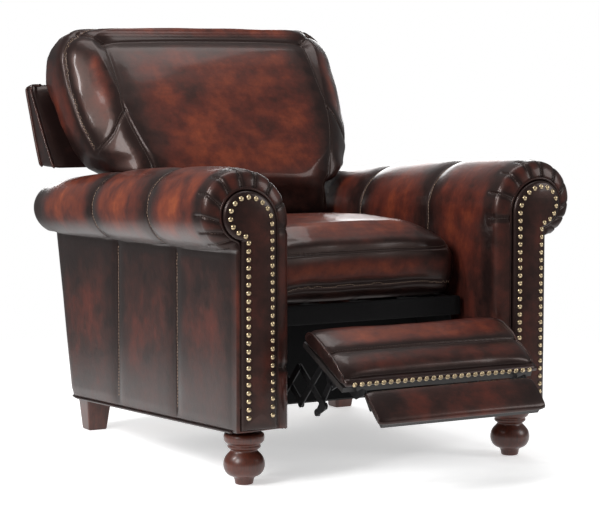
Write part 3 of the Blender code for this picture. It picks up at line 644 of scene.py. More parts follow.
# Joints of the pleated border, as angles round the roll, and the two level joints on the inner side
PLEATS = (-50, -28, -4, 26, 56, 84, 106, 130, 156)
WALL_JOINTS = (0.255, 0.560)


def make_arm(label, side):
    rows = arm_rows(side)
    points, faces = closed_skin(rows)
    arm = add_piece(f"arm_cover_{label}_skin", points, faces, leather, "root")
    around = rows.shape[1]
    y = rows[:, :, 1]
    column = np.broadcast_to(np.arange(around), y.shape)
    front_end, rear_end = 0.036, 0.975
    ends = (front_end, *BAY_SEAMS_Y, rear_end)
    centre = np.zeros_like(y)
    half = np.ones_like(y)
    for low, high in zip(ends, ends[1:]):
        inside = (y >= low) & (y <= high)
        centre[inside], half[inside] = (low + high) / 2, (high - low) / 2
    across_bay = np.clip(np.abs(y - centre) / half, 0, 1)
    on_side = y > front_end
    padding = np.where(on_side, 0.0045 * (1 - across_bay ** 4), 0.0)
    padding = padding * np.where(column > SIDE_START, 0.6, 1.0) * np.where(column >= SIDE_END - 2, 0, 1)
    padding = padding * fade(column, 2, 12)
    swell(arm, padding.ravel())
    paint_arm(arm, rows, across_bay, column)
    seams = []
    for seam_y in BAY_SEAMS_Y:
        row = int(np.argmin(np.abs(rows[:, around // 2, 1] - seam_y)))
        for start, end in ((8, SIDE_START - 4), (SIDE_START + 1, SIDE_END - 2)):
            line = rows[row, start:end].copy()
            line[:, 1] = seam_y
            seams.append(sew(arm, line, depth=0.0022, width=0.0030,
                             pull=0.0016, pull_width=0.022, shade=0.040))
    pleats = pleat_lines(rows)
    for line in pleats:
        sew(arm, line, depth=0.0026, width=0.0022, pull=0.0008, pull_width=0.007, shade=0.010)
    fold = rows[30:, SIDE_START - TUCK // 2].copy()
    sew(arm, fold, depth=0.0050, width=0.0060, shade=0.045)
    topstitch(f"arm_bay_stitching_{label}", arm, seams, thread, gaps=(0.0,),
              pitch=0.0078, length=0.0056, radius=0.0006)
    topstitch(f"arm_pleat_stitching_{label}", arm, pleats, dark_thread, gaps=(0.0,),
              pitch=0.0062, radius=0.0005)
    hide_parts(f"arm_cover_{label}")
    make_arm_welts(label, rows)
    return arm


def paint_arm(arm, rows, across_bay, column):
    """Rubs the arm back where hands reach: brightest on the roll, softer on the walls."""
    roll_foot = roll_column(ROLL_END)
    stops = ((0, 0.14), (WALL, 0.56), (WALL + INNER_ROLL, 0.50), (roll_column(60), 0.72),
             (roll_column(5), 0.76), (roll_column(-30), 0.56), (roll_foot, 0.08),
             (roll_foot + TUCK + 8, 0.10), (TUCK_START + 26, 0.36), (SIDE_END, 0.08), (len(rows[0]), 0.0))
    turned = between_stops(stops, column)
    y = rows[:, :, 1]
    lengthwise = (1 - across_bay ** 3) * fade(y, 0.040, 0.085)
    front = 0.28 * (1 - fade(y, 0.020, 0.045))
    paint(arm, "rub", np.maximum(turned * lengthwise, front).ravel())


def pleat_lines(rows):
    """The radiating joints of the border round the front panel."""
    lines = []
    for angle in PLEATS:
        lines.append(rows[1:38, int(round(roll_column(angle)))].copy())
    for z in WALL_JOINTS:
        lines.append(rows[1:36, int(np.argmin(np.abs(rows[29, :WALL, 2] - z)))].copy())
    return lines


def make_arm_welts(label, rows):
    """Piping in the gap round the front panel, and the welt along the arm's lower edge."""
    ring = rows[2, :SIDE_END].copy()
    ring[:, 1] = 0.0125
    welt = curve_through(ring[::6], 0.006)
    points, faces = sweep(welt, 0.0036)
    piping = add_piece(f"arm_front_piping_{label}", points, faces, plain_leather, "root")
    paint(piping, "rub", np.full(len(points), 0.12))
    edges = (rows[31:-6, SIDE_END - 1], rows[31:-6, 0])
    parts = [sweep(curve_through(line[::4], 0.012), 0.0032) for line in edges]
    points, faces = gathered(parts)
    add_piece(f"arm_lower_welt_{label}", points, faces, plain_leather, "root")


def inset_panel(share):
    """The keyhole outline drawn in towards its own spine by a share."""
    outline = panel_outline()
    spine_x = (PANEL_INNER_X + PANEL_OUTER_X) / 2
    head = fade(outline[:, 1], PANEL_HEAD_Z - 0.16, PANEL_HEAD_Z)
    spine = np.stack([spine_x + (ROLL_X - 0.010 - spine_x) * head,
                      np.clip(outline[:, 1], PANEL_BOTTOM_Z + 0.040, PANEL_HEAD_Z)], 1)
    return outline + (spine - outline) * share


# The front panel's rings: how far drawn in towards its spine, y, how rubbed, and how much in the seam's shade
PANEL_RINGS = (
    (0.0, 0.0217, 0.0, 1.0), (0.0, 0.0120, 0.0, 1.0), (0.0, 0.0075, 0.0, 0.8), (0.02, 0.0045, 0.0, 0.5),
    (0.06, 0.0022, 0.02, 0.35), (0.12, 0.0006, 0.04, 0.25), (0.25, -0.0012, 0.08, 0.12),
    (0.45, -0.0030, 0.15, 0.0), (0.70, -0.0044, 0.20, 0.0), (0.90, -0.0050, 0.21, 0.0),
    (0.985, -0.0050, 0.21, 0.0))


def make_front_panel(label, side):
    """The raised keyhole panel: a board with padding under tight leather."""
    rows = []
    for share, y, _, _ in PANEL_RINGS:
        flat = inset_panel(share)
        rows.append(np.stack([side * flat[:, 0], np.full(len(flat), y), flat[:, 1]], 1))
    points, faces = closed_skin(rows)
    panel = add_piece(f"arm_front_panel_{label}_skin", points, faces, leather, "root")
    paint(panel, "rub", np.repeat([ring[2] for ring in PANEL_RINGS], len(rows[0])))
    paint(panel, "seam", np.repeat([ring[3] for ring in PANEL_RINGS], len(rows[0])))
    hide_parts(f"arm_front_panel_{label}")
    make_panel_nails(label, side, panel)


def make_panel_nails(label, side, panel):
    """Antique brass nails close together inside the panel's edge."""
    outline = panel_outline()[:SIDE_END]
    inward = np.gradient(outline, axis=0)
    inward = np.stack([inward[:, 1], -inward[:, 0]], 1)
    inward /= np.linalg.norm(inward, axis=1)[:, None]
    line = outline + inward * NAIL_INSET
    off_head = np.hypot(line[:, 0] - ROLL_X, line[:, 1] - PANEL_HEAD_Z)
    line = line[(line[:, 1] > PANEL_BOTTOM_Z + NAIL_INSET) & (off_head > 0.02)]
    run = np.concatenate([[0.0], np.cumsum(np.linalg.norm(np.diff(line, axis=0), axis=1))])
    count = round(run[-1] / NAIL_PITCH)
    places = (np.arange(count) + 0.5) * run[-1] / count
    tree = surface_of(panel)
    heads = []
    for place in places:
        spot = (side * np.interp(place, run, line[:, 0]), -0.0008, np.interp(place, run, line[:, 1]))
        heads.append(nail_head(*tree.find_nearest(Vector(spot))[:2]))
    points, faces = gathered(heads)
    nails = add_piece(f"arm_nails_{label}", points, faces, brass, "root")
    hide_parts(f"arm_nail_trim_{label}")


# A nail head's profile from rim to crown, as shares of its radius: distance from its axis, height
NAIL_PROFILE = ((1.0, -0.15), (1.02, 0.06), (0.96, 0.24), (0.80, 0.44),
                (0.55, 0.60), (0.28, 0.68), (0.05, 0.70))
NAIL_SIDES = 14


def nail_head(seat, normal):
    """One domed head, its rim sunk a little into the leather."""
    seat, normal = np.array(seat), np.array(normal)
    across = np.cross(normal, (0.0, 0.6, 0.8))
    across /= np.linalg.norm(across)
    other = np.cross(normal, across)
    turns = [2 * math.pi * i / NAIL_SIDES for i in range(NAIL_SIDES)]
    outward = [across * math.cos(a) + other * math.sin(a) for a in turns]
    rings = [[seat + normal * rise * NAIL_R + way * radius * NAIL_R for way in outward]
             for radius, rise in NAIL_PROFILE]
    return closed_skin(rings)


# ---------------------------------------------------------------- feet and legs

FOOT_X, FOOT_Y = 0.354, 0.076
FOOT_SIDES = 56
# The turned foot's profile from the floor up, as (radius, height)
BUN = ((0.010, 0.0), (0.019, 0.0), (0.0205, 0.003), (0.021, 0.010), (0.0235, 0.0165), (0.028, 0.0185),
       (0.034, 0.0205), (0.0395, 0.025), (0.0438, 0.032), (0.0460, 0.040), (0.0462, 0.047), (0.0448, 0.055),
       (0.0415, 0.062), (0.0365, 0.068), (0.0315, 0.0725), (0.0295, 0.0755), (0.0300, 0.0785),
       (0.0345, 0.0800), (0.0368, 0.0825), (0.0372, 0.0855), (0.0358, 0.0885), (0.0362, 0.0905),
       (0.0395, 0.0920),
       (0.0430, 0.0950), (0.0450, 0.0995), (0.0452, 0.1060), (0.0452, 0.1193))
LEG_X, LEG_Y = 0.3585, 0.8775
# The rear leg's sections from the floor up, as (half width, half depth, shift along Y, height)
LEG_SECTIONS = ((0.0225, 0.0205, 0.0, 0.0), (0.0242, 0.0222, 0.0, 0.0015), (0.0248, 0.0228, 0.0, 0.006),
                (0.0285, 0.0262, -0.002, 0.040), (0.0325, 0.0300, -0.004, 0.0763))


def make_foot(label, side):
    rings = []
    turns = [2 * math.pi * i / FOOT_SIDES for i in range(FOOT_SIDES)]
    for radius, z in BUN:
        rings.append([(side * FOOT_X + radius * math.cos(a), FOOT_Y + radius * math.sin(a), z)
                      for a in turns])
    points, faces = closed_skin(rings)
    foot = add_piece(f"front_foot_{label}_turned", points, faces, mahogany, "root")
    apply_step(foot, "SUBSURF", levels=1)
    foot.data.shade_smooth()
    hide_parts(f"front_foot_{label}")


def make_leg(label, side):
    """The square tapered rear leg, its edges eased."""
    rings = []
    for half_x, half_y, shift, z in LEG_SECTIONS:
        ring = rounded_ring(-half_x, half_x, -half_y, half_y, 0.004)
        rings.append([(side * LEG_X + x, LEG_Y + shift + y, z) for x, y in ring])
    points, faces = closed_skin(rings)
    leg = add_piece(f"rear_leg_{label}_tapered", points, faces, mahogany, "root")
    leg.data.set_sharp_from_angle(angle=math.radians(40))
    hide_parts(f"rear_leg_{label}")


def rounded_ring(x0, x1, y0, y1, radius, corner=5, side=6):
    """A rectangle with round corners as (x, y) points, in the same number each time."""
    points = []
    corners = ((x1 - radius, y0 + radius, -90), (x1 - radius, y1 - radius, 0), (x0 + radius, y1 - radius, 90),
               (x0 + radius, y0 + radius, 180))
    for k, (x, y, start) in enumerate(corners):
        for angle in np.radians(np.linspace(start, start + 90, corner)):
            points.append((x + radius * math.cos(angle), y + radius * math.sin(angle)))
        following = corners[(k + 1) % 4]
        angle = math.radians(following[2])
        end = (following[0] + radius * math.cos(angle), following[1] + radius * math.sin(angle))
        for share in np.linspace(0, 1, side + 2)[1:-1]:
            start_point = np.array(points[k * (corner + side) + corner - 1])
            points.append(tuple(start_point * (1 - share) + np.array(end) * share))
    return points


# ---------------------------------------------------------------- seat cushion

# The cushion's two seams, from the middle of its front round to its right side
SEAT_TOP_SEAM = ((0.0, 0.134, 0.504), (0.15, 0.138, 0.502), (0.232, 0.150, 0.500), (0.254, 0.200, 0.512),
                 (0.256, 0.400, 0.518), (0.254, 0.640, 0.500))
SEAT_LOW_SEAM = ((0.0, 0.112, 0.404), (0.15, 0.118, 0.404), (0.244, 0.150, 0.404), (0.254, 0.300, 0.404))


def seat_seam(right):
    """The whole seam, left to right, from its right half."""
    return curve_through([(-x, y, z) for x, y, z in right[:0:-1]] + list(right))


def make_seat_cushion():
    """A loose box cushion: crowned top, fuller in the middle than at its corners."""
    rings = []
    slack = 0.011
    for x in (-1.0, -0.975, -0.9, -0.75, -0.5, -0.2, 0.2, 0.5, 0.75, 0.9, 0.975, 1.0):
        edge = 0.020 * max(abs(x) - 0.9, 0.0) / 0.1
        crown = 0.034 * (1 - x ** 4)
        front, rear = SEAT_FRONT_Y + edge + slack, SEAT_REAR_Y - edge - slack
        low, high = SEAT_BOTTOM_Z + edge * 0.6 + 0.004, SEAT_TOP_Z - edge - 0.008
        section = [(front + 0.012, low), (rear, low), (rear, high + crown * 0.2),
                   (rear - 0.14, high + crown * 0.8), (front + 0.25, high + crown),
                   (front + 0.09, high + crown * 0.9), (front + 0.018, high),
                   (front, high - 0.025), (front, low + 0.020)]
        rings.append([(x * (SEAT_HALF_WIDTH - 0.007), y, z) for y, z in section])
    points, faces = closed_skin(rings)
    cushion = add_piece("seat_cushion_stuffed", points, faces, leather, "seat")
    plump(cushion, 0.0065, 0.022, 90)
    points = points_of(cushion)
    reach = SEAT_HALF_WIDTH + 0.0010
    points[:, 0] = np.clip(points[:, 0], -reach, reach)
    points[:, 1] = np.clip(points[:, 1], SEAT_FRONT_Y - 0.012, SEAT_REAR_Y)
    points[:, 2] = np.maximum(points[:, 2], SEAT_BOTTOM_Z)
    set_points(cushion, points)
    x, y, z = points.T
    front_band = np.exp(-((y - 0.13) / 0.04) ** 2) * fade(z, 0.38, 0.43) * (1 - fade(z, 0.47, 0.53))
    top = fade(z, 0.50, 0.535) * (1 - fade(np.abs(x), 0.12, 0.25))
    paint(cushion, "rub", np.clip(1.05 * front_band * (1 - fade(np.abs(x), 0.15, 0.26)) + 0.62 * top, 0, 1))
    top_line = sew(cushion, seat_seam(SEAT_TOP_SEAM), pull=0.0035, pull_width=0.018, shade=0.026)
    low_line = sew(cushion, seat_seam(SEAT_LOW_SEAM), pull=0.0020, pull_width=0.012, shade=0.022)
    topstitch("seat_top_stitching", cushion, [top_line], dark_thread)
    topstitch("seat_lower_stitching", cushion, [low_line], thread, gaps=(0.0,), pitch=0.0066, length=0.0048)
    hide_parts("seat_cushion")


# ---------------------------------------------------------------- back

# The pillow's front as (height, y), and its half width as (height, half width)
FRONT_STOPS = ((0.510, 0.706), (0.600, 0.715), (0.680, 0.752), (0.760, 0.806), (0.860, 0.874),
               (0.940, 0.936), (0.980, 0.978), (1.000, 1.015))
HALF_STOPS = ((0.510, 0.246), (0.530, 0.256), (0.604, 0.256), (0.614, 0.284), (0.634, 0.312), (0.652, 0.345),
              (0.690, 0.362), (0.760, 0.380), (0.860, 0.390), (0.930, 0.388), (0.975, 0.368), (1.000, 0.330))
# Underside of the pillow's wings, kept clear of the arm rolls, as (distance from the middle, height)
WING_UNDERSIDE = ((0.258, 0.506), (0.262, 0.606), (0.290, 0.618), (0.318, 0.638),
                  (0.345, 0.650), (0.400, 0.652))
PILLOW_LEVELS = (0.518, 0.525, 0.540, 0.560, 0.580, 0.600, 0.610, 0.620, 0.630, 0.642, 0.653, 0.664,
                 *np.linspace(0.680, 0.980, 16), 0.9995)


def shell_rear(z):
    return 1.155 - (SHELL_TOP_Z - z) * 0.364


def shell_front(z):
    return np.maximum(0.958 + (z - 0.600) * 0.650, shell_rear(z) - 0.095)


def pillow_front(z):
    """The pillow's front, its profile eased over the changes of slope."""
    nearby = [np.asarray(z, float) + step for step in np.linspace(-0.03, 0.03, 9)]
    return np.mean([between_stops(FRONT_STOPS, level) for level in nearby], axis=0)


def pillow_rear(z):
    above = between_stops(((SHELL_TOP_Z, 0.0), (0.930, 0.008), (0.980, 0.030), (1.0, 0.060)), z)
    return shell_front(np.minimum(z, SHELL_TOP_Z)) - 0.004 - above


PILLOW_HALF, PILLOW_TOP_Z = 0.400, 1.009


def make_pillow():
    """The back pillow: a lumbar swell between the arms, then bolsters that spread over them."""
    slack = 0.007
    rings = []
    for z in PILLOW_LEVELS:
        half = between_stops(HALF_STOPS, z)
        wide = half > BACK_NARROW_X + 0.004
        half = half + 0.006 * fade(z, 0.640, 0.660) if wide else half - slack
        front, rear = float(pillow_front(z)) + slack, float(pillow_rear(z)) - 0.004
        spread = float(fade(z, 0.610, 0.680))
        turn_x = 0.020 + 0.065 * spread
        turn_y = 0.020 + (min(0.090, 0.45 * (rear - front)) - 0.020) * spread
        heel = min(0.030, 0.25 * (rear - front))
        right = [(half - turn_x * (1 - math.sin(a)), front + turn_y * (1 - math.cos(a)) ** 0.8)
                 for a in np.linspace(0.0, 0.5 * math.pi, 7)]
        right += [(half, rear - heel), (half - heel, rear)]
        rings.append([(-x, y, z) for x, y in right[::-1]] + [(x, y, z) for x, y in right])
    points, faces = closed_skin(rings)
    pillow = add_piece("back_pillow_stuffed", points, faces, leather, "back")
    plump(pillow, 0.0070, 0.022, 90)
    fit_pillow(pillow)
    paint_pillow(pillow)
    seam_pillow(pillow)
    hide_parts("back_cushion")


def fit_pillow(pillow):
    """Presses the pillow flat against the shell behind it and the arms beside and under it."""
    x, y, z = points_of(pillow).T
    x = x * (1 + (PILLOW_HALF / np.abs(x).max() - 1) * fade(z, WING_FOOT_Z, WING_FOOT_Z + 0.05))
    z = (z + (PILLOW_TOP_Z - z.max()) * fade(z, 0.80, 0.98)
         - 0.008 * fade(z, 0.90, 1.0) * (x / PILLOW_HALF) ** 2)
    z = z + 0.010 * fade(z, 0.90, 1.0) * (1 - np.clip(np.abs(x) / 0.35, 0, 1) ** 2)
    x = np.where(z < 0.600, np.clip(x, -BACK_NARROW_X - 0.004, BACK_NARROW_X + 0.004), x)
    behind = pillow_rear(np.clip(z, 0.5, 1.0)) + 0.002
    y = np.minimum(y, np.where(z > 0.90, behind + 0.012, behind))
    y = np.maximum(y, pillow_front(z) - 0.014)
    z = np.maximum(z, between_stops(WING_UNDERSIDE, np.abs(x)))
    set_points(pillow, np.stack([x, y, z], 1))


def paint_pillow(pillow):
    x, _, z = points_of(pillow).T
    middle = (1 - fade(np.abs(x), 0.17, 0.285)) * fade(z, 0.56, 0.68) * (1 - 0.7 * fade(z, 0.92, 0.972))
    bolster = np.exp(-((np.abs(x) - 0.330) / 0.022) ** 2) * fade(z, 0.72, 0.80) * (1 - fade(z, 0.92, 0.97))
    gusset = np.exp(-((np.abs(x) - 0.392) / 0.020) ** 2) * fade(z, 0.70, 0.76) * (1 - fade(z, 0.88, 0.95))
    top = 0.60 * fade(z, 0.974, 0.988) * (1 - fade(np.abs(x), 0.20, 0.33))
    paint(pillow, "rub", np.clip(0.58 * middle + 0.66 * bolster + 0.5 * gusset + top, 0.06, 1))


def front_line(stops):
    """A line drawn on the pillow's front, from (x, z) stops."""
    flat = curve_through([(x, 0.0, z) for x, z in stops])
    flat[:, 1] = pillow_front(flat[:, 2]) - 0.006
    return flat


# Seams of the pillow's right half: down its front as (x, z), the others as (x, y, z)
MAIN_SEAM = ((0.287, 0.968), (0.288, 0.880), (0.289, 0.801), (0.272, 0.730), (0.256, 0.680), (0.247, 0.620),
             (0.240, 0.560))
PLEAT_SEAM = ((0.289, float(between_stops(FRONT_STOPS, 0.801)), 0.801), (0.335, 0.815, 0.745),
              (0.372, 0.850, 0.694))
CORNER_SEAM = ((0.287, 0.966, 0.968), (0.315, 0.975, 0.990), (0.338, 1.005, 1.000))
EDGE_SEAM = ((0.338, 1.005, 1.000), (0.366, 1.002, 0.972), (0.384, 0.985, 0.930), (0.394, 0.945, 0.860),
             (0.392, 0.900, 0.780), (0.380, 0.855, 0.700))
CROWN_SEAM = ((-0.338, 1.005, 1.000), (-0.2, 1.020, 1.004), (0.0, 1.022, 1.004), (0.2, 1.020, 1.004),
              (0.338, 1.005, 1.000))


def mirrored(stops, side):
    """A smooth line through stops given for the right side."""
    return curve_through([(side * x, y, z) for x, y, z in stops])


def seam_pillow(pillow):
    double, single, edges = [], [], []
    top = front_line([(-0.287, 0.968), (-0.15, 0.972), (0.0, 0.973), (0.15, 0.972), (0.287, 0.968)])
    single.append(sew(pillow, top, pull=0.0030, pull_width=0.018, shade=0.028))
    for side in (-1, 1):
        main = front_line([(side * x, z) for x, z in MAIN_SEAM])
        single.append(sew(pillow, main, depth=0.0028, pull=0.0036, pull_width=0.022, shade=0.026))
        pleat = mirrored(PLEAT_SEAM, side)
        double.append(sew(pillow, pleat, depth=0.0030, pull=0.0015, pull_width=0.012, shade=0.020))
        corner = mirrored(CORNER_SEAM, side)
        double.append(sew(pillow, corner, depth=0.0034, pull=0.0030, pull_width=0.014, shade=0.020))
        edge = mirrored(EDGE_SEAM, side)
        edges.append(sew(pillow, edge, depth=0.0040, width=0.0040,
                         pull=0.0040, pull_width=0.016, shade=0.020))
    crown = curve_through(CROWN_SEAM)
    edges.append(sew(pillow, crown, depth=0.0020, pull=0.0015, pull_width=0.012, shade=0.018))
    topstitch("back_seam_stitching", pillow, single, dark_thread, gaps=(0.0045,), pitch=0.0062)
    topstitch("back_pleat_stitching", pillow, double, dark_thread)
    topstitch("back_edge_stitching", pillow, edges, thread, gaps=(0.0,), pitch=0.0062, length=0.0036)


# Levels of the outside back, as (height, half width)
SHELL_LEVELS = (
    (0.360, 0.252), (0.363, 0.256), (0.500, 0.256), (0.6535, 0.256), (0.6540, 0.400), (0.6560, 0.409),
    (0.6600, 0.4135), (0.670, 0.415), (0.720, 0.418), (0.780, 0.420), (0.820, 0.4215), (0.845, 0.422),
    (0.853, 0.4195), (0.858, 0.416), (0.861, 0.411), (0.8620, 0.404))


def make_shell():
    """The outside back: leather drawn tight over the wedge-shaped frame, with a welt along its edges."""
    rings = []
    for z, half in SHELL_LEVELS:
        inset = max(BACK_NARROW_X - half, 0.0)
        if z > 0.85:
            inset = max(0.422 - half, 0.0) * 0.5
        front, rear = float(shell_front(z)) + inset, float(shell_rear(z)) - inset
        ring = rounded_ring(-half, half, front, rear, 0.010, corner=6, side=24)
        rings.append([(x, y, z) for x, y in ring])
    points, faces = closed_skin(rings)
    shell = add_piece("outside_back_cover", points, faces, leather, "back")
    x, y, z = np.asarray(points).T
    on_rear = fade(y - shell_rear(z), -0.02, -0.002) * fade(z, 0.37, 0.45)
    swell(shell, 0.004 * (1 - np.clip(np.abs(x) / 0.40, 0, 1) ** 4) * on_rear)
    upright = fade(z, 0.45, 0.60) * (1 - fade(z, 0.76, 0.85))
    paint(shell, "rub", 0.42 * (1 - np.clip(np.abs(x) / 0.36, 0, 1) ** 2) * upright)
    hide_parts("outside_back")
    parts = []
    for side in (-1, 1):
        upper = [(z, half) for z, half in SHELL_LEVELS if 0.656 <= z <= 0.853]
        front = [(side * half, float(shell_front(z)) + 0.002, z) for z, half in upper]
        rear = [(side * half, float(shell_rear(z)) - 0.002, z) for z, half in upper]
        over = [(side * 0.406, float(shell_front(0.862)) + 0.014, 0.860), (side * 0.405, 1.100, 0.8615),
                (side * 0.406, float(shell_rear(0.862)) - 0.012, 0.860)]
        parts.append(sweep(curve_through(front + over + rear[::-1], 0.006), 0.0042))
    points, faces = gathered(parts)
    welts = add_piece("outside_back_welts", points, faces, plain_leather, "back")
    paint(welts, "rub", np.full(len(points), 0.22))


# ---------------------------------------------------------------- footrest

def from_pivot(pivot, tilt, along, off):
    """The (y, z) place this far along and off a panel that tilts about a pivot."""
    cos, sin = math.cos(tilt), math.sin(tilt)
    return pivot[0] - cos * along + sin * off, pivot[1] + sin * along + cos * off


def on_panel(along, off):
    return from_pivot(PANEL_PIVOT, PANEL_TILT, along, off)


def on_flipper(along, off):
    return from_pivot(on_panel(*FLIPPER_HINGE), PANEL_TILT + FLIPPER_TILT, along, off)


def crowned(half_width, section, crown, where, stations):
    """A pad's side section repeated across X, drawn in at its two ends."""
    middle = sum(a for a, _ in section) / len(section)
    low = min(off for _, off in section)
    rings = []
    for x in stations:
        draw = 1.0 - 0.09 * fade(abs(x), 0.93, 1.0)
        ring = []
        for along, off in section:
            lift = (off - low) * (draw + crown * (1 - x * x))
            ring.append((x * half_width, *where(middle + (along - middle) * draw, low + lift)))
        rings.append(ring)
    return closed_skin(rings)


def panel_place(points):
    """Points' distances along and off the footrest panel."""
    y, z = points[:, 1] - PANEL_PIVOT[0], points[:, 2] - PANEL_PIVOT[1]
    along = -y * math.cos(PANEL_TILT) + z * math.sin(PANEL_TILT)
    off = y * math.sin(PANEL_TILT) + z * math.cos(PANEL_TILT)
    return along, off


def make_footrest_pad():
    base, face = PANEL_BASE + 0.001, PANEL_FACE - 0.004
    section = [(PANEL_REAR + 0.006, base), (PANEL_FRONT - 0.006, base), (PANEL_FRONT - 0.005, base + 0.008),
               (PANEL_FRONT - 0.005, face - 0.014), (PANEL_FRONT - 0.014, face - 0.004),
               (0.090, face + 0.002), (0.030, face + 0.008), (-0.030, face + 0.010),
               (PANEL_REAR + 0.016, face + 0.003),
               (PANEL_REAR + 0.005, face - 0.010), (PANEL_REAR + 0.005, base + 0.008)]
    stations = (-1.0, -0.98, -0.94, -0.8, -0.5, 0.0, 0.5, 0.8, 0.94, 0.98, 1.0)
    points, faces = crowned(PANEL_HALF_WIDTH - 0.005, section, 0.10, on_panel, stations)
    pad = add_piece("footrest_pad_stuffed", points, faces, leather, "footrest")
    plump(pad, 0.0050, 0.008, 40)
    points = points_of(pad)
    along, off = panel_place(points)
    flat_along = np.clip(along, PANEL_REAR - 0.004, PANEL_FRONT)
    flat_off = np.maximum(off, PANEL_BASE)
    points[:, 1], points[:, 2] = on_panel(flat_along, flat_off)
    points[:, 0] = np.clip(points[:, 0], -PANEL_HALF_WIDTH - 0.003, PANEL_HALF_WIDTH + 0.003)
    set_points(pad, points)
    x = points[:, 0]
    # The pad's crown is painted lighter: partly rubbed leather, partly painted sheen where its top catches
    # the light.
    lightness = fade(off, 0.052, 0.064) * np.exp(-((along - 0.02) / 0.085) ** 2)
    paint(pad, "rub", 0.72 * (1 - fade(np.abs(x), 0.16, 0.255)) * lightness)
    cross = curve_through([(x, *on_panel(0.048, 0.075)) for x in np.linspace(-0.252, 0.252, 9)])
    cross = sew(pad, cross, pull=0.0030, pull_width=0.014, shade=0.024)
    edge = on_panel(PANEL_FRONT + 0.002, PANEL_BASE + 0.0215)
    front = sew(pad, [(x, *edge) for x in np.linspace(-0.250, 0.250, 150)],
                depth=0.0016, width=0.0030, shade=0.016)
    topstitch("footrest_seam_stitching", pad, [cross], dark_thread, gaps=(-0.0040, 0.0040))
    topstitch("footrest_edge_stitching", pad, [front], dark_thread, gaps=(0.0045,))
    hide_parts("footrest_pad")
    make_footrest_piping(pad)


def make_footrest_piping(pad):
    """Piping up and over the pad's two sides."""
    parts = []
    for side in (-1, 1):
        stops = [(PANEL_FRONT - 0.004, PANEL_BASE + 0.004), (PANEL_FRONT - 0.003, PANEL_FACE - 0.016),
                 (PANEL_FRONT - 0.016, PANEL_FACE - 0.004), (0.090, PANEL_FACE + 0.003),
                 (0.030, PANEL_FACE + 0.008), (-0.030, PANEL_FACE + 0.009), (PANEL_REAR + 0.016, PANEL_FACE),
                 (PANEL_REAR + 0.002, PANEL_FACE - 0.012), (PANEL_REAR + 0.004, PANEL_BASE + 0.004)]
        x = side * (PANEL_HALF_WIDTH - 0.006)
        line = on_surface(pad, curve_through([(x, *on_panel(*stop)) for stop in stops], 0.006), 0.0006)
        parts.append(sweep(line, 0.0030))
    points, faces = gathered(parts)
    piping = add_piece("footrest_side_piping", points, faces, plain_leather, "footrest")
    paint(piping, "rub", np.full(len(points), 0.15))


def make_footrest_nails():
    """A row of nails along the footrest's front edge, on its leather strip."""
    low, high = PANEL_BASE + 0.0075, PANEL_BASE + 0.0195
    section = [(PANEL_FRONT - 0.022, low), (PANEL_FRONT + 0.0022, low + 0.001),
               (PANEL_FRONT + 0.0030, (low + high) / 2), (PANEL_FRONT + 0.0022, high - 0.001),
               (PANEL_FRONT - 0.022, high)]
    reach = PANEL_HALF_WIDTH - 0.012
    rings = [[(x, *on_panel(*s)) for s in section] for x in np.linspace(-reach, reach, 40)]
    points, faces = closed_skin(rings)
    add_piece("footrest_nail_strip", points, faces, plain_leather, "footrest")
    count = int(2 * (reach - 0.008) / NAIL_PITCH)
    direction = Vector((0.0, -math.cos(PANEL_TILT), math.sin(PANEL_TILT)))
    heads = []
    for i in range(count):
        x = NAIL_PITCH * (i - (count - 1) / 2)
        heads.append(nail_head((x, *on_panel(PANEL_FRONT + 0.0030, (low + high) / 2)), direction))
    points, faces = gathered(heads)
    nails = add_piece("footrest_nails", points, faces, brass, "footrest")
    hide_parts("footrest_nail_trim")


def make_flipper_pad():
    base, face = 0.0050, 0.0175
    near, far = 0.0075, 0.095
    section = [(near + 0.002, base), (far - 0.002, base), (far, base + 0.003), (far, face - 0.006),
               (far - 0.004, face - 0.001), (0.080, face + 0.001), (0.052, face + 0.002),
               (0.030, face + 0.001), (near + 0.006, face - 0.001), (near + 0.001, face - 0.005),
               (near, base + 0.003)]
    stations = (-1, -0.99, -0.97, -0.94, *np.linspace(-0.88, 0.88, 24), 0.94, 0.97, 0.99, 1)
    points, faces = crowned(FLIPPER_HALF_WIDTH, section, 0.12, on_flipper, stations)
    pad = add_piece("flipper_pad_cover", points, faces, leather, "flipper")
    apply_step(pad, "SUBSURF", levels=2)
    pad.data.shade_smooth()
    paint(pad, "rub", 0.34 * (1 - fade(np.abs(points_of(pad)[:, 0]), 0.10, 0.20)))
    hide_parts("flipper_pad")


# ---------------------------------------------------------------- fittings

def finish_fittings():
    """Gives every carried-over solid of the frame its finish by its slot; boards in shade get near-black
    painted shade.
    """
    by_slot = {"frame_wood": frame_wood, "black_steel": steel, "spring_steel": spring_steel,
               "mahogany": mahogany, "brass": brass, "leather": plain_leather}
    for name, node in frame["nodes"].items():
        for place in node.material_slots:
            place.material = board_shade_finish if name in SHADE_DARKENED_BOARDS else by_slot[place.material.name]


# Boards in the shade under the seat and the footrest: their near-black finish is painted shade.
SHADE_DARKENED_BOARDS = ("footrest_board", "flipper_board", "base_rail_front", "seat_rail_front", "seat_rail_left",
                  "seat_rail_right")


def make_seat_apron():
    """Black spun cloth over the seat's front rail: painted shade under the cushion, so that no timber shows
    there.
    """
    rings = []
    for x in np.linspace(-0.2516, 0.2516, 30):
        ring = rounded_ring(0.1365, 0.1640, 0.3325, 0.3762, 0.006, corner=5, side=3)
        rings.append([(x, y, z) for y, z in ring])
    points, faces = closed_skin(rings)
    add_piece("seat_rail_shade_cloth", points, faces, black_cloth_shade, "seat")


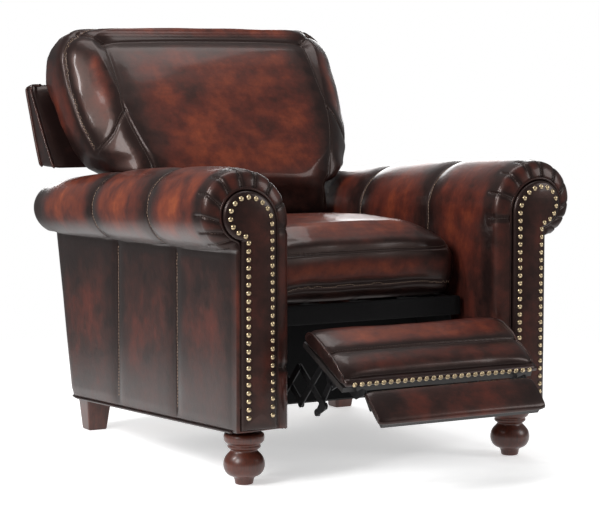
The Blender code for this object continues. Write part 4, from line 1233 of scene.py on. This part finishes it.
def make_rear_panel():
    """The leather panel over the rear base rail, below the outside back."""
    rings = []
    for inset, y in ((0.0, 0.8260), (0.0, 0.8310), (0.0015, 0.8335), (0.004, 0.8350), (0.02, 0.8362),
                     (0.05, 0.8375), (0.08, 0.8380)):
        half = 0.2690 - inset
        ring = rounded_ring(-half, half, 0.100 + inset, 0.335 - inset, 0.006, corner=5, side=16)
        rings.append([(x, y, z) for x, z in ring])
    points, faces = closed_skin(rings)
    panel = add_piece("rear_lower_panel", points, faces, leather, "root")
    x, y, z = np.asarray(points).T
    lightness = np.exp(-((z - 0.217) / 0.07) ** 2)
    paint(panel, "rub", 0.35 * (1 - np.clip(np.abs(x) / 0.24, 0, 1) ** 2) * lightness)


def make_dust_covers():
    """Black spun cloth stretched behind the linkage and under the chair, tacked to the base rails."""
    upright = [[(x, 0.3265 + 0.002 * math.cos(9 * x), z) for x in np.linspace(-0.266, 0.266, 40)]
               for z in np.linspace(0.123, 0.322, 16)]
    hang_cover("front_dust_cover", upright)
    level = [[(x, y, 0.1175 - 0.006 * math.sin(math.pi * (y - 0.34) / 0.475) * (1 - (x / 0.27) ** 2))
              for x in np.linspace(-0.266, 0.266, 30)] for y in np.linspace(0.340, 0.815, 26)]
    hang_cover("under_dust_cover", level)


def hang_cover(name, rows):
    points = np.array(rows)
    cover = add_piece(name, points, grid_faces(*points.shape[:2], wrap=False), black_cloth_shade, "root")


# ---------------------------------------------------------------- setting

FLOOR_R, FLOOR_SIDES = 2.2, 64


def make_setting():
    turns = [2 * math.pi * i / FLOOR_SIDES for i in range(FLOOR_SIDES)]
    edge = [(FLOOR_R * math.cos(a), FLOOR_R * math.sin(a), 0.0) for a in turns]
    floor_mesh = bpy.data.meshes.new("floor")
    floor_mesh.from_pydata(edge, [], [tuple(range(FLOOR_SIDES))])
    floor_mesh.materials.append(make_floor_finish())
    floor = bpy.data.objects.new("floor", floor_mesh)
    bpy.context.collection.objects.link(floor)
    bpy.context.scene.world = make_studio_air()
    bpy.context.scene.view_settings.view_transform = "Standard"
    add_softbox("key_softbox", (-3.2, -1.3, 2.3), (-0.1, 0.0, 0.7), 0.9, 1.9, 88.0)
    add_softbox("fill_softbox", (2.8, -2.6, 1.9), (0.0, 0.0, 0.5), 1.6, 1.6, 46.0)
    add_softbox("top_softbox", (0.2, 0.6, 3.4), (0.0, 0.0, 0.6), 2.4, 1.4, 40.0)
    add_softbox("edge_softbox", (-2.9, 0.4, 2.75), (-0.33, 0.45, 0.88), 0.22, 1.5, 58.0)
    add_softbox("rear_softbox", (1.6, 3.6, 1.5), (0.0, 0.2, 0.5), 3.0, 1.4, 70.0)


def make_studio_air():
    """White all round where it is seen, and softer as light."""
    world = bpy.data.worlds.new("studio")
    world.use_nodes = True
    background = world.node_tree.nodes["Background"]
    background.inputs["Color"].default_value = (1.0, 1.0, 1.0, 1.0)
    seen = Tone(background.outputs[0]).add("LightPath")
    (seen * 0.77 + 0.23).to(background, "Strength")
    return world


def add_softbox(name, place, aim, width, height, power):
    light = bpy.data.lights.new(name, "AREA")
    light.shape = "RECTANGLE"
    light.size, light.size_y, light.energy = width, height, power
    lamp = bpy.data.objects.new(name, light)
    lamp.location = place
    lamp.rotation_euler = (Vector(aim) - Vector(place)).to_track_quat("-Z", "Y").to_euler()
    lamp.visible_camera = False
    bpy.context.collection.objects.link(lamp)


def make_camera():
    camera = bpy.data.cameras.new("camera")
    camera.lens, camera.sensor_width = 127.69, 36.0
    view = bpy.data.objects.new("camera", camera)
    view.location = (-2.5008, -4.45415, 0.9372)
    view.rotation_euler = (math.pi / 2 - 0.0931154, 0.0, -0.510477)
    bpy.context.collection.objects.link(view)
    bpy.context.scene.camera = view


# ---------------------------------------------------------------- the chair

make_camera()
leather = make_leather("rubbed_leather", 0.45, 0.86)
plain_leather = make_leather("edge_leather", 0.30, 0.60)
mahogany = make_wood("polished_mahogany", (0.020, 0.0050, 0.0032), (0.110, 0.022, 0.009), 210.0, 0.16, 0.24)
frame_wood = make_wood("frame_beech", (0.24, 0.145, 0.075), (0.50, 0.34, 0.20), 90.0, 0.0, 0.55)
steel = make_metal("black_lacquered_steel", (0.006, 0.006, 0.007), (0.030, 0.029, 0.030), 0.30, metallic=0.6)
brass = make_metal("antique_brass", (0.20, 0.135, 0.070), (0.86, 0.70, 0.45), 0.17, scale=3.0)
spring_steel = make_metal("oiled_spring_steel", (0.008, 0.008, 0.009), (0.040, 0.039, 0.039), 0.42,
                          metallic=0.5)
# A near-black board finish: painted shade on the boards under the seat and the footrest.
board_shade_finish = make_wood("board_painted_shade", (0.0035, 0.0028, 0.0027), (0.014, 0.0085, 0.0072), 120.0, 0.1, 0.45)
black_cloth_shade = make_cloth_and_shade_finish()
thread = make_thread()
dark_thread = make_dark_thread()
for label, side in SIDES:
    make_arm(label, side)
    make_front_panel(label, side)
    make_foot(label, side)
    make_leg(label, side)
make_seat_cushion()
make_pillow()
make_shell()
make_footrest_pad()
make_footrest_nails()
make_flipper_pad()
make_seat_apron()
make_rear_panel()
make_dust_covers()
finish_fittings()
make_setting()
